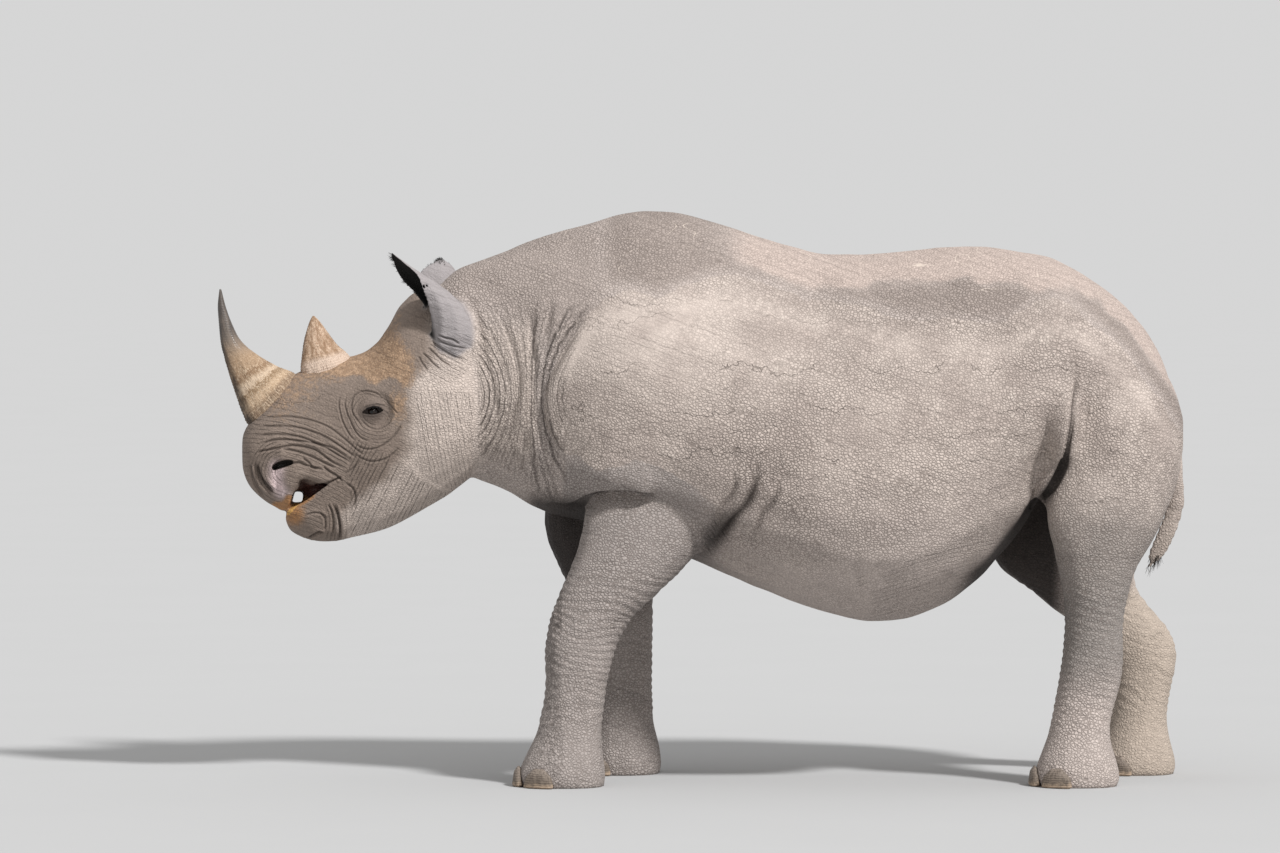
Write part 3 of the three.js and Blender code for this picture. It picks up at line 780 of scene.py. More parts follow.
# %% Sculpt lips, legs and small unevenness
UPPER_LIP = [
    (-1040, 882), (-1085, 876), (-1125, 886), (-1160, 893), (-1180, 860), (-1196, 822),
    (-1215, 800),
]
LOWER_LIP = [(-1040, 868), (-1087, 842), (-1135, 806), (-1165, 785), (-1190, 765)]
fold(UPPER_LIP, -0.003, 0.008, end=0.15)
fold(LOWER_LIP, -0.003, 0.009, end=0.15)
valley = np.maximum(valley, 0)

flat_tail = on_tail * ramp(0.88, 0.80, hide_points[:, 2]) * ramp(0.60, 0.66, hide_points[:, 2])
hide_points[:, 0] += 0.0100 * flat_tail * normals[:, 0]
far_ear = on_ear * ramp(1.38, 1.48, hide_points[:, 2]) * (hide_points[:, 1] > 0)
front_edge = 0.018 * ramp(-0.75, -0.79, hide_points[:, 0]) * ramp(1.52, 1.46, hide_points[:, 2])
hide_points[:, 0] -= far_ear * (0.014 + front_edge)
hide_points[:, 2] -= 0.008 * far_ear * ramp(1.48, 1.52, hide_points[:, 2])

leg_low = ramp(0.72, 0.50, hide_points[:, 2]) * np.maximum(on_foreleg, on_hindleg)
slope = hide_points[:, 2] + 0.30 * hide_points[:, 0] * on_hindleg + 0.12 * hide_points[:, 0]
wavy = slope / 0.024 + 1.3 * lumps(hide_points, 0.09, 3)
hide_points += normals * (0.0014 * leg_low * (1 - on_foot) * np.sin(wavy * 2 * math.pi))[:, None]
uneven = 0.0024 * lumps(hide_points, 0.110, 1) + 0.0012 * lumps(hide_points, 0.045, 2)
uneven *= (1 - 0.75 * on_head) * (1 - on_ear) * (1 - on_tail) * (1 - on_foot)
hide_points += normals * uneven[:, None]

sole = (on_foot > 0.5) & (hide_points[:, 2] < 0.006)
hide_points[sole, 2] = 0
hide_points[:, 2] = np.maximum(hide_points[:, 2], 0)
normals = surface_normals(hide_points, hide_faces)
print("hide from", hide_points.min(0).round(3), "to", hide_points.max(0).round(3))

# %% [markdown]
# ## Where the mud, earth and bare skin are
# The animal has wallowed: dried mud covers its flanks up to a ragged line below the back. The neck,
# the top of the back and a band across the rump are bare, the forehead and horn bases carry
# orange-brown earth, and the lips are stained by leaves. Each of these is a soft mask, a number
# from 0 to 1 at every point of the hide, which the material then breaks up into specks and edges.

# %% Paint the masks on the points
x, y, z = hide_points.T
reach_out = np.abs(y)
patchy = lumps(hide_points, 0.16, 5)
ragged = lumps(hide_points, 0.05, 6)

MUD_LINE = [
    (-500, 1020), (-450, 1140), (-400, 1260), (-340, 1350), (-280, 1420), (-200, 1430),
    (-130, 1400), (-50, 1430), (30, 1460), (100, 1455), (170, 1446), (290, 1400), (520, 1362),
    (600, 1338), (870, 1327), (950, 1377), (1010, 1392), (1060, 1369), (1140, 1315), (1220, 1237),
    (1300, 1129), (1380, 1010),
]
mud_top = read_off(x, MUD_LINE)
BEHIND_FOLD = [
    (800, -420), (950, -440), (1050, -460), (1150, -455), (1250, -410), (1350, -340), (1450, -260),
]
MUD_LOW_LINE = [
    (-450, 1020), (-409, 989), (-308, 928), (-174, 948), (-47, 895), (34, 820), (80, 550),
]
mud = ramp(0.030, -0.030, z - mud_top + 0.014 * ragged + 0.016 * patchy)
mud *= ramp(-0.012, 0.03, x - read_off(z, BEHIND_FOLD))
mud_low = read_off(x, MUD_LOW_LINE)
mud *= ramp(mud_low - 0.045, mud_low + 0.035, z + 0.015 * ragged)
mud *= 1 - 0.80 * on_foreleg * ramp(0.90, 0.80, z) * ramp(0.15, 0.0, x)
mud *= 1 - on_head

BACK_LINE = [
    (-100, 1654), (60, 1613), (210, 1559), (340, 1526), (770, 1556), (1000, 1525), (1120, 1450),
]
below_back = read_off(x, BACK_LINE) - z + 0.02 * ragged
back_top = ramp(-0.05, 0.25, x) * ramp(1.14, 0.96, x) * ramp(0.135, 0.065, below_back) * (z > 1.2)
rump_top = ramp(0.98, 1.08, x) * ramp(0.05, 0.11, z - mud_top + 0.012 * ragged) * (z > 1.0)
dust = np.clip(back_top + rump_top, 0, 1)

bare = ramp(-0.01, 0.05, z - mud_top) * ramp(-0.30, -0.24, x) * (1 - dust)
bare += 0.70 * ramp(-0.24, -0.34, x) * ramp(1.22, 1.36, z + 0.5 * (x + 0.45)) * (1 - on_head)
bare = np.clip(bare, 0, 1) * (1 - on_ear)

CHEEK_LINE = [
    (700, -1035), (780, -1035), (834, -965), (882, -892), (972, -845), (1063, -840), (1153, -825),
    (1250, -760),
]
muzzle = on_head * ramp(0.04, -0.035, x - read_off(z, CHEEK_LINE) + 0.018 * ragged)
brow = ramp(1.148, 1.194, z + 0.12 * (x + 0.95) + 0.02 * ragged) * ramp(-1.12, -1.02, x)
brow *= ramp(-0.770, -0.890, x + 0.3 * (z - 1.2) + 0.030 * ragged + 0.020 * patchy)
brow *= 1 - 0.55 * ramp(1.24, 1.32, z)
horn_foot = bell(np.hypot(x + 1.20, z - 1.13), 0.12) + bell(np.hypot(x + 1.08, z - 1.22), 0.08)
behind_eye = bell(np.hypot((x + 0.872) / 0.5, z - 1.09), 0.075)
earth = on_head * np.clip(brow + 0.55 * horn_foot + 0.6 * behind_eye, 0, 1)

leaf_stain = np.zeros(len(hide_points))
inner_lip = np.zeros(len(hide_points))
STAINS = [
    ([(-1180, 835), (-1192, 812), (-1206, 798), (-1230, 792)], 0.017),
    ([(-1110, 842), (-1140, 822), (-1170, 800), (-1192, 775)], 0.013),
]
for line, width in STAINS:
    chosen, across, along = across_and_along(line, 0.06)
    leaf_stain[chosen] = np.maximum(leaf_stain[chosen], bell(across, width) * ramp(0, 0.2, along))
chosen, across, along = across_and_along(STAINS[1][0], 0.04)
inner_lip[chosen] = bell(across + 0.002, 0.008) * ramp(0.02, 0.10, along) * on_head[chosen]
on_chin = 0.78 * bell(np.hypot(x + 1.180, (z - 0.776) * 0.9), 0.040)
leaf_stain = np.maximum(leaf_stain, on_chin) * on_head
# The inside of the mouth is painted dark, as painted shade.
from_palate = np.hypot((x + 1.11) / 1.6, z - 0.845)
inside_mouth = on_head * ramp(0.085, 0.060, reach_out) * bell(from_palate, 0.040)
inside_mouth = np.clip(inside_mouth * 1.3, 0, 1)

channel, across, along = across_and_along(CHANNEL_LINE, 0.06)
moist = np.zeros(len(hide_points))
moist[channel] = bell(across, 0.019) * ramp(0.030, 0.050, reach_out[channel])
from_armpit = np.hypot((x - 0.045 - 0.6 * (z - 0.735)) * 1.6, (z - 0.735) * 0.8)
armpit = bell(from_armpit, 0.072) * ramp(0.10, 0.16, reach_out)
pink = np.clip(1.25 * moist * on_head, 0, 1)

EAR_AXIS = {
    -1: [
        (1225, -712, 122), (1350, -731, 141), (1400, -765, 150), (1445, -815, 160),
        (1475, -848, 168), (1530, -893, 182),
    ],
    1: [
        (1225, -712, 122), (1350, -727, 142), (1400, -740, 152), (1445, -750, 164),
        (1480, -755, 174), (1519, -755, 186),
    ],
}


def from_ear_axis(points):
    """How far each point lies from the middle line of its ear, in X and in Y."""
    away = np.empty((len(points), 2))
    for side in (-1, 1):
        heights, axis_x, axis_y = np.array(EAR_AXIS[side]).T / 1000
        chosen = points[:, 1] * side > 0
        here = points[chosen]
        away[chosen, 0] = here[:, 0] - np.interp(here[:, 2], heights, axis_x)
        away[chosen, 1] = here[:, 1] - side * np.interp(here[:, 2], heights, axis_y)
    return away


ear_away = from_ear_axis(hide_points)
ear_away /= np.maximum(np.linalg.norm(ear_away, axis=1, keepdims=True), 1e-6)
facing_out = (ear_away * normals[:, :2]).sum(1)
# The insides of the ears and the near ear's front rim are painted black as painted shade; the top
# rim of the far ear is black for its dark hair.
ear_inside = on_ear * ramp(0.15, -0.25, facing_out) * ramp(1.255, 1.29, z)
front_rim = on_ear * ramp(-0.60, -0.88, ear_away[:, 0]) * ramp(1.262, 1.290, z)
front_rim *= ramp(1.430, 1.380, z)
far_rim = on_ear * (y > 0) * ramp(1.496, 1.508, z + 0.004 * ragged)
ear_inside = np.maximum(ear_inside, np.maximum(front_rim * (y < 0), far_rim))
print("mud on", round(float((mud > 0.5).mean()), 2), "of the points")

# %% [markdown]
# ## The run of the wrinkles
# Fine wrinkles follow the pull of the skin: back along the muzzle and under the eye, round the eye,
# up and down the neck, and across the legs. Storing finished wrinkles would need far more points.
# Instead every point stores how many wrinkles lie between it and a starting line. The material
# draws a groove wherever that count passes a whole number, as a bump and in painted shade, so the
# grooves stay sharp close up.

# %% Count the wrinkles
count = np.zeros(len(hide_points))
strength = np.zeros(len(hide_points))


def add_wrinkles(run, spacing, amount):
    """Where amount is largest so far, the wrinkles follow run, a length across them in metres."""
    stronger = amount > strength
    count[stronger] = (run / spacing)[stronger]
    strength[stronger] = amount[stronger]


sweep = z + 1.1 * np.maximum(x + 1.30, 0) ** 2
sweep_amount = 0.42 * muzzle * ramp(1.08, 1.00, z + 0.6 * (x + 1.1)) * ramp(-0.88, -0.95, x)
add_wrinkles(sweep, 0.0135, sweep_amount)
snout = np.hypot((x - NOSTRIL[0]) * 1.05, z - NOSTRIL[1] + 0.02)
snout_amount = 0.6 * muzzle * ramp(0.125, 0.095, snout) * ramp(-1.19, -1.22, x)
add_wrinkles(snout, 0.0105, snout_amount)
ring_reach = np.hypot((x - eye_x) * 0.90, z - eye_z) - 0.14 * (x - eye_x - 0.6 * (z - eye_z))
ring_slant = 0.6 * (0.8 * (x - eye_x) + 0.6 * (z - eye_z)) / np.maximum(ring_reach, 0.01)
ring_amount = 0.42 * np.clip(0.55 - ring_slant, 0.20, 1) * on_head
ring_amount *= ramp(0.105, 0.075, ring_reach)
ring_amount *= ramp(0.020, 0.028, ring_reach)
add_wrinkles(ring_reach, 0.0095, ring_amount)
chin = np.hypot((x + 1.16), (z - 0.75) * 0.8)
chin_amount = 0.5 * on_head * ramp(-1.11, -1.085, x) * ramp(-1.00, -1.03, x) * ramp(0.83, 0.80, z)
add_wrinkles(chin, 0.0100, chin_amount)
from_ear = np.hypot(x + 0.70, (z - 1.215) * 1.2)
ear_fan_amount = 0.45 * ramp(0.13, 0.08, from_ear) * ramp(0.05, 0.1, reach_out)
add_wrinkles(0.45 * x + 0.89 * z, 0.0100, ear_fan_amount)
neck_run = (x + 0.497) / (1 + 34 * (z - 1.12) ** 2)
neck_amount = ramp(1.43, 1.31, z) * ramp(-0.68, -0.62, x)
neck_amount *= ramp(-0.36, -0.43, x - 0.5 * np.maximum(z - 1.2, 0))
neck_amount *= ramp(0.1, 0.15, reach_out)
add_wrinkles(neck_run, 0.0150, neck_amount)
cheek_amount = on_head * ramp(-0.86, -0.80, x) * ramp(1.20, 1.10, z)
add_wrinkles(x + 0.18 * z, 0.0125, 0.50 * cheek_amount)
jaw_amount = on_head * ramp(-1.05, -1.0, x) * ramp(0.92, 0.86, z + 0.55 * (x + 0.80))
add_wrinkles(x - 0.5 * z, 0.0125, 0.62 * jaw_amount)
side_amount = bell(np.hypot((x - 0.18) / 0.13, (z - 0.86) / 0.16), 1.0) * (1 - on_foreleg)
add_wrinkles(x + 0.35 * z - 0.5 * (z - 0.9) ** 2, 0.0115, 0.75 * side_amount)
belly_amount = on_trunk * ramp(0.92, 0.74, z) * ramp(0.15, 0.30, x)
add_wrinkles(z - 0.35 * x + 0.30 * (x - 0.5) ** 2, 0.0120, 0.45 * belly_amount)
thigh_amount = on_hindleg * ramp(0.98, 0.82, z) * ramp(0.52, 0.62, z)
add_wrinkles(x + 0.3 * z, 0.0120, 0.45 * thigh_amount)
leg_amount = np.maximum(on_foreleg * ramp(0.84, 0.78, z), on_hindleg * ramp(0.78, 0.60, z))
leg_amount *= 1 - on_foot
add_wrinkles(z + 0.12 * x * on_foreleg + 0.45 * x * on_hindleg, 0.0105, 0.50 * leg_amount)
add_wrinkles(0.8 * x + 0.6 * z, 0.013, armpit)
add_wrinkles(z + 0.2 * x, 0.009, 0.8 * on_tail)
strength = relaxed(strength, around, 0.5, 2)
add_wrinkles(0.35 * x + z, 0.021, np.full(len(x), 0.22))
strength *= 1 - ear_inside
edges = edges_of(hide_faces)
jump = np.abs(count[edges[:, 0]] - count[edges[:, 1]]) > 0.45
seam = np.zeros(len(hide_points))
seam[edges[jump].ravel()] = 1
seam = np.clip(relaxed(seam, around, 0.5, 3) * 4, 0, 1)
strength *= 1 - seam
print("wrinkled:", round(float((strength > 0.5).mean()), 2), "of the points")


def store(mesh, name, *columns):
    """Keeps up to three numbers at each point of a mesh, for its material."""
    values = np.zeros((len(mesh.vertices), 3), np.float32)
    for index, column in enumerate(columns):
        values[:, index] = column
    made = mesh.attributes.new(name, "FLOAT_VECTOR", "POINT")
    made.data.foreach_set("vector", values.ravel())


hide_mesh = new_mesh("hide", hide_points, hide_faces)
shade_smooth(hide_mesh)
store(hide_mesh, "cover", mud, dust, bare)
store(hide_mesh, "face", muzzle, earth, leaf_stain)
store(hide_mesh, "soft", pink, np.clip(ear_inside, 0, 1), inside_mouth)
store(hide_mesh, "wrinkle", count, strength, np.clip(valley, 0, 1))
# Painted shade, darkening colour where shade falls: in the groin, along the crease before the
# thigh, under the chest, between the forelegs and in the armpits.
groin_shade = ramp(0.70, 0.80, x) * ramp(1.08, 1.02, x) * ramp(0.99, 0.90, z + 0.6 * (x - 0.95))
groin_shade = groin_shade * ramp(-0.26, -0.18, y) * ramp(0.38, 0.50, z)
near_thigh, across, along = across_and_along(THIGH_CREASE[3:], 0.08)
crease_shade = 0.8 * (y[near_thigh] < 0) * bell(across, 0.022)
crease_shade *= ramp(0.375, 0.335, reach_out[near_thigh])
crease_shade *= ramp(0.05, 0.45, along)
groin_shade[near_thigh] += crease_shade
under_chest_shade = 0.9 * bell(np.abs(x + 0.15), 0.17) * ramp(-0.20, -0.10, y)
under_chest_shade = under_chest_shade * ramp(0.86, 0.78, z) * ramp(0.45, 0.60, z)
groin_shade = np.clip(groin_shade + under_chest_shade, 0, 1)
# The rear of the far hind shank gets a warmer colour with fewer cracks: painted light where the
# lamp falls on its rear.
lit_far_shank = on_hindleg * (y > 0) * ramp(0.62, 0.50, z) * ramp(1.10, 1.20, x)
store(hide_mesh, "place", relaxed(on_ear, around, 0.5, 20), relaxed(on_head, around, 0.5, 90))
chest_under_shade = ramp(-0.53, -0.47, x) * ramp(-0.26, -0.33, x) * ramp(0.86, 0.80, z)
chest_under_shade *= 1 - on_foreleg * (y < 0)
# Darker skin round the eye, with painted shade from the lids.
lids = on_head * bell(np.hypot((x - eye_x) * 0.75, z - eye_z), 0.026)
pale_neck = ramp(-0.72, -0.64, x) * ramp(-0.455, -0.50, x) * ramp(1.40, 1.27, z + 0.02 * patchy)
pale_neck = pale_neck * ramp(0.88, 1.0, z) * (1 - on_head)
unmudded = on_trunk * ramp(1.0, 0.9, z) * ramp(0.10, -0.05, x)
# On the far side the painted shade lies only where the skin faces inward.
inward = np.where(y > 0, ramp(0.20, -0.30, normals[:, 1]), 1)
painted_shade = inward * groin_shade + nostril_shade + 0.9 * inward * chest_under_shade
painted_shade = np.clip(painted_shade + 0.85 * armpit * (1 - 0.6 * on_foreleg), 0, 1)
grey_skin = np.maximum(unmudded, on_foreleg * ramp(0.88, 0.78, z))
store(hide_mesh, "shade", painted_shade, lit_far_shank, grey_skin)
rugged_zone = 0.85 - 0.50 * bell(np.hypot((x + 0.14) / 0.34, (z - 1.28) / 0.15), 1.0) - 0.30 * dust
rugged_zone -= 0.35 * ramp(0.06, -0.02, np.abs(z - mud_top + 0.07)) * mud
rugged_zone += 0.30 * side_amount + 0.20 * bell(np.hypot(x + 0.45, z - 0.93), 0.13)
rugged_zone = np.clip(rugged_zone - 0.25 * ramp(0.74, 0.60, z) * on_trunk, 0.2, 1.3)
near_low = on_hindleg * (y < 0) * ramp(0.95, 0.78, z) * ramp(0.20, 0.40, z)
store(hide_mesh, "more", near_low, on_tail, inner_lip)
store(hide_mesh, "tint", lids, pale_neck, rugged_zone)
hide = new_object("hide", hide_mesh)
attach(hide, "root")
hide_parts(*flesh_names)

# %% [markdown]
# ## A small language for materials
# A material is a net of nodes. Written out node by node it is long and hard to read, so one class
# wraps a socket: adding, multiplying or comparing two of them adds the Math node that does it. Any
# other node comes from its one method, node(), which takes the settings first and then the sockets.

# %% The class for sockets
def paint(red, green, blue):
    """A colour as seen on a screen, 0 to 255, as the linear light that a shader mixes."""
    def linear(part):
        return part / 12.92 if part <= 0.04045 else ((part + 0.055) / 1.055) ** 2.4
    return (*[linear(part / 255) for part in (red, green, blue)], 1)


class Signal:
    """An output socket of a material's node tree, with sums written as plain expressions."""

    def __init__(self, tree, socket=None):
        self.tree = tree
        self.socket = socket

    def node(self, kind, settings=None, sockets=None, output=0):
        made = self.tree.nodes.new("ShaderNode" + kind)
        for name, value in (settings or {}).items():
            setattr(made, name, value)
        for name, value in (sockets or {}).items():
            if isinstance(value, Signal):
                self.tree.links.new(value.socket, made.inputs[name])
            else:
                made.inputs[name].default_value = value
        return Signal(self.tree, made.outputs[output])

    def math(self, operation, *values):
        return self.node("Math", {"operation": operation}, dict(enumerate(values)))

    def __add__(self, other):
        return self.math("ADD", self, other)

    def __sub__(self, other):
        return self.math("SUBTRACT", self, other)

    def __rsub__(self, other):
        return self.math("SUBTRACT", other, self)

    def __mul__(self, other):
        return self.math("MULTIPLY", self, other)

    def __truediv__(self, other):
        return self.math("DIVIDE", self, other)

    __radd__ = __add__
    __rmul__ = __mul__

    def ramp(self, low, high):
        """0 where this is low, 1 where it is high, and a soft step between."""
        settings = {"interpolation_type": "SMOOTHSTEP"}
        return self.node("MapRange", settings, {"Value": self, "From Min": low, "From Max": high})

    def mix(self, under, over):
        """The colour under where this is 0, and the colour over where it is 1."""
        settings = {"data_type": "RGBA", "clamp_factor": True}
        return self.node("Mix", settings, {0: self, 6: under, 7: over}, 2)

    def tinted(self, colour, amount):
        """This colour, multiplied by another by an amount."""
        settings = {"data_type": "RGBA", "blend_type": "MULTIPLY"}
        return self.node("Mix", settings, {0: amount, 6: self, 7: colour}, 2)

    def scaled(self, *sizes):
        """This place in space, divided by a size along each axis."""
        factors = [1 / size for size in (sizes if len(sizes) == 3 else sizes * 3)]
        return self.node("VectorMath", {"operation": "MULTIPLY"}, {0: self, 1: factors})

    def noise(self, size, detail=2.0, rough=0.5):
        """Cloudy noise with lumps about size metres across."""
        sockets = {"Vector": self, "Scale": 1 / size, "Detail": detail, "Roughness": rough}
        return self.node("TexNoise", None, sockets)

    def grey(self):
        """This number as a shade of grey."""
        return self.node("CombineColor", None, {0: self, 1: self, 2: self})

    def place(self):
        """The place in space of each point of the piece."""
        return self.node("TexCoord", None, None, "Object")

    def stored(self, name):
        """The three numbers that the mesh keeps under a name."""
        vector = self.node("Attribute", {"attribute_name": name}, None, "Vector")
        return [vector.node("SeparateXYZ", None, {0: vector}, axis) for axis in range(3)]


def new_finish(name, **constants):
    """A material, with the constants set straight on its shader, and a Signal to start from."""
    material = bpy.data.materials.new(name)
    material.use_nodes = True
    shader = material.node_tree.nodes["Principled BSDF"]
    for socket, value in constants.items():
        shader.inputs[socket.replace("_", " ")].default_value = value
    return material, shader, Signal(material.node_tree)


def wear(shader, **signals):
    """Links what varies over the surface to the shader's sockets."""
    for socket, signal in signals.items():
        signal.tree.links.new(signal.socket, shader.inputs[socket.replace("_", " ")])


def bump(height, distance):
    return height.node("Bump", None, {"Height": height, "Distance": distance, "Strength": 1.0})


def layered(colour, *layers):
    """Lays colours over one another, each where the number before it is 1."""
    for amount, over in layers:
        colour = amount.mix(colour, over)
    return colour


# %% [markdown]
# ## The hide's finish
# Close up the hide is a mosaic: small plates with cracks between them, each a little lighter or
# darker than the next. Mud lies on the plates, and the cracks are painted dark as painted shade.
# Over that come crumbs of thicker mud, painted pale with a painted highlight and with painted
# shade between them, thin pale scratches on the bare back, and the grooves counted out above and
# the valleys of the folds, both in painted shade. Painted shade also darkens the groin, the
# underside of the chest, the armpits, the nostrils, the inside of the mouth and the insides of
# the ears, darker skin with painted shade lies round the eyes, and the rear of the far hind
# shank is painted as lit. Colour tells most of this, and a bump gives the same pattern its
# relief.

# %% Finish the hide
HIDE_GREY = paint(186, 174, 167)
HIDE_BARE = paint(158, 146, 139)
HIDE_FACE = paint(128, 114, 104)
HIDE_CHEEK = paint(199, 185, 175)
HIDE_LEG = paint(160, 151, 146)
PAINTED_SHADE = paint(38, 33, 31)
HIDE_EAR = paint(153, 147, 147)
MUD_PALE = paint(194, 181, 172)
MUD_WARM = paint(174, 161, 153)
BACK_DUST = paint(187, 171, 162)
EARTH = paint(150, 121, 95)
LEAF_STAIN = paint(158, 116, 78)
PINK_SKIN = paint(222, 200, 200)
MOUTH_SHADE = paint(62, 38, 34)
EAR_SHADE_AND_HAIR_BLACK = paint(24, 23, 22)
CRACK_AND_CRUMB_SHADE = paint(92, 82, 76)
GROOVE_SHADE = paint(58, 50, 46)
FAR_SHANK_LIT = paint(176, 162, 148)
THIGH_LOW = paint(144, 137, 132)
TAIL_SKIN = paint(150, 138, 127)
EARTH_PALE = paint(176, 146, 118)
EARTH_DARK = paint(112, 90, 72)
LID_SKIN_AND_SHADE = paint(72, 63, 59)
LIP_PALE = paint(206, 160, 92)
CRUMB_AND_HIGHLIGHT = paint(216, 204, 193)
SCRATCH_PALE = paint(222, 208, 194)

hide_material, shader, start = new_finish("hide", Specular_IOR_Level=0.3)
space = start.place()
mud_on, dust_on, bare_on = start.stored("cover")
muzzle_on, earth_on, stain_on = start.stored("face")
pink_on, black_on, mouth_on = start.stored("soft")
wrinkle_count, wrinkle_on, valley_shade_on = start.stored("wrinkle")
ear_on, head_on, _ = start.stored("place")
shade_on, lit_far_shank_on, foreleg_on = start.stored("shade")
lids_on, pale_neck_on, zone = start.stored("tint")
near_low_on, tail_on, inner_lip_on = start.stored("more")

up_body = start.node("SeparateXYZ", None, {0: space}, 2)
clouds = space.noise(0.13, 4)
grain = space.noise(0.012, 4, 0.6)
bent = space.noise(0.03, 2)

plates = space.scaled(0.0096, 0.0096, 0.0080)
plate_sockets = {"Vector": plates, "Scale": 1.0, "Randomness": 0.95}
plate_luck = start.node("TexVoronoi", None, plate_sockets, "Color")
plate_shade = start.node("SeparateXYZ", None, {0: plate_luck})
plate_edge = start.node("TexVoronoi", {"feature": "DISTANCE_TO_EDGE"}, plate_sockets)
crack = plate_edge.ramp(0.15, 0.03)
crumb_cells = {"Vector": space.scaled(0.021), "Scale": 1.0, "Randomness": 1.0}
crumb_near = start.node("TexVoronoi", None, crumb_cells)
crumb_colour = start.node("TexVoronoi", None, crumb_cells, "Color")
crumb_luck = start.node("SeparateXYZ", None, {0: crumb_colour})
crumb = crumb_near.ramp(0.38, 0.20) * crumb_luck.ramp(0.72, 0.80)

flaky = space.noise(0.26, 3, 0.6).ramp(0.50, 0.66)
rugged = (0.78 + 0.26 * space.noise(0.16, 4, 0.6).ramp(0.35, 0.65)) * zone


def grooves(counted, width):
    """Dark lines where a count passes a whole number and a half, each as deep as luck gives it."""
    whole = counted.math("FLOOR", counted)
    off_line = counted.math("ABSOLUTE", counted - whole - 0.5)
    luck = counted.node("TexWhiteNoise", {"noise_dimensions": "1D"}, {"W": whole})
    return off_line.ramp(width, width * 0.15) * (0.35 + 0.65 * luck)


counted = wrinkle_count + 0.7 * (bent - 0.5)
ragged_edge = space.scaled(2.5, 1, 1).noise(0.12, 2)
broken = space.noise(0.022, 2).ramp(0.36, 0.50)
main_groove = grooves(counted, 0.21) * wrinkle_on * (0.45 + 0.55 * broken)
fine_groove = grooves(2.3 * wrinkle_count + 2.4 * (grain - 0.5), 0.24)
fine_groove = fine_groove * wrinkle_on * (0.5 - 0.3 * muzzle_on)
groove = main_groove.math("MAXIMUM", main_groove, fine_groove)

long_crack = grooves(up_body / 0.062 + 3.2 * (clouds - 0.5) + 0.8 * (bent - 0.5), 0.035)
long_crack = long_crack * ragged_edge.ramp(0.47, 0.58)

scratch_field = space.scaled(1.0, 1.0, 0.45).noise(0.16, 1.0)
scratch = scratch_field.math("ABSOLUTE", scratch_field - 0.5).ramp(0.0035, 0.0005)
unmuddied = bare_on.math("MAXIMUM", bare_on, dust_on)
scratch = scratch * unmuddied * space.noise(0.09, 1.0).ramp(0.42, 0.55)

ragged_mud = mud_on + 0.18 * (grain - 0.5) + 0.34 * (bent - 0.5) + 0.24 * (clouds - 0.5)
mud_height = up_body + 0.30 * (clouds - 0.5) + 0.06 * (grain - 0.5)
ragged_mud = ragged_mud.ramp(0.38, 0.46) * mud_height.ramp(0.48, 1.00)
ragged_dust = (dust_on + 0.45 * (grain - 0.5) + 0.30 * (clouds - 0.5)).ramp(0.25, 0.75)
ragged_earth = (earth_on + 0.9 * (grain - 0.5) + 0.5 * (clouds - 0.5)).ramp(0.30, 0.80)

mud_tone = (clouds + 0.20 * (0.85 - zone)).ramp(0.34, 0.66).mix(MUD_WARM, MUD_PALE)
earth_tone = grain.ramp(0.38, 0.62).mix(EARTH, EARTH_PALE)
clods = ragged_earth * space.noise(0.011, 4, 0.7)
skin = layered(
    HIDE_GREY,
    (bare_on, HIDE_BARE),
    (foreleg_on, HIDE_LEG),
    # Painted light on the rear of the far hind shank.
    (lit_far_shank_on * 0.9, FAR_SHANK_LIT),
    (near_low_on, THIGH_LOW),
    (tail_on * 0.85, TAIL_SKIN),
    (pale_neck_on * (0.72 + 0.4 * clouds), HIDE_CHEEK),
    (head_on, HIDE_CHEEK),
    (muzzle_on, HIDE_FACE),
    (ear_on, HIDE_EAR),
    (ragged_dust, BACK_DUST),
    (ragged_mud, mud_tone),
    (ragged_earth * 0.85, earth_tone),
    (clods.ramp(0.50, 0.42) * ragged_earth * 0.30, EARTH_DARK),
    # Lids: darker skin and painted shade.
    (lids_on * 0.85, LID_SKIN_AND_SHADE),
    (pink_on * 0.85, PINK_SKIN),
    ((stain_on + 0.35 * (grain - 0.5)).ramp(0.15, 0.75), LEAF_STAIN),
    ((inner_lip_on + 0.35 * (grain - 0.5)).ramp(0.50, 0.75), LIP_PALE),
)
plate_tone = 0.90 + 0.20 * plate_shade + 0.7 * muzzle_on * (space.noise(0.0045, 3, 0.7) - 0.5)
cracked = 0.70 - 0.42 * head_on - 0.60 * ear_on - 0.40 * tail_on - 0.45 * lit_far_shank_on
colour = layered(
    skin.tinted(plate_tone.grey(), 0.8 - 0.7 * ear_on),
    # Crumbs of mud painted pale with a painted highlight, and painted shade between them.
    (crumb * ragged_mud * flaky * 0.60, CRUMB_AND_HIGHLIGHT),
    (crumb_near.ramp(0.46, 0.60) * ragged_mud * flaky * 0.22, CRACK_AND_CRUMB_SHADE),
    # Painted shade in the cracks between the plates.
    (crack * rugged * cracked, CRACK_AND_CRUMB_SHADE),
    # Wrinkle grooves in painted shade.
    (groove * 0.85, GROOVE_SHADE),
    # Painted shade in the long cracks of the mud.
    (long_crack * ragged_mud * 0.60, CRACK_AND_CRUMB_SHADE),
    (scratch * 0.55, SCRATCH_PALE),
    # Painted shade, with dirt, in the valleys of the folds, the lids and the nostrils.
    (valley_shade_on * 0.80, GROOVE_SHADE),
    # Painted shade inside the mouth.
    (mouth_on * 1.2, MOUTH_SHADE),
    # Painted shade in the groin, under the chest, in the armpits and in the nostrils.
    (shade_on * 0.92, PAINTED_SHADE),
    # Painted shade inside the ears, and the far ear's dark hair.
    (black_on, EAR_SHADE_AND_HAIR_BLACK),
)

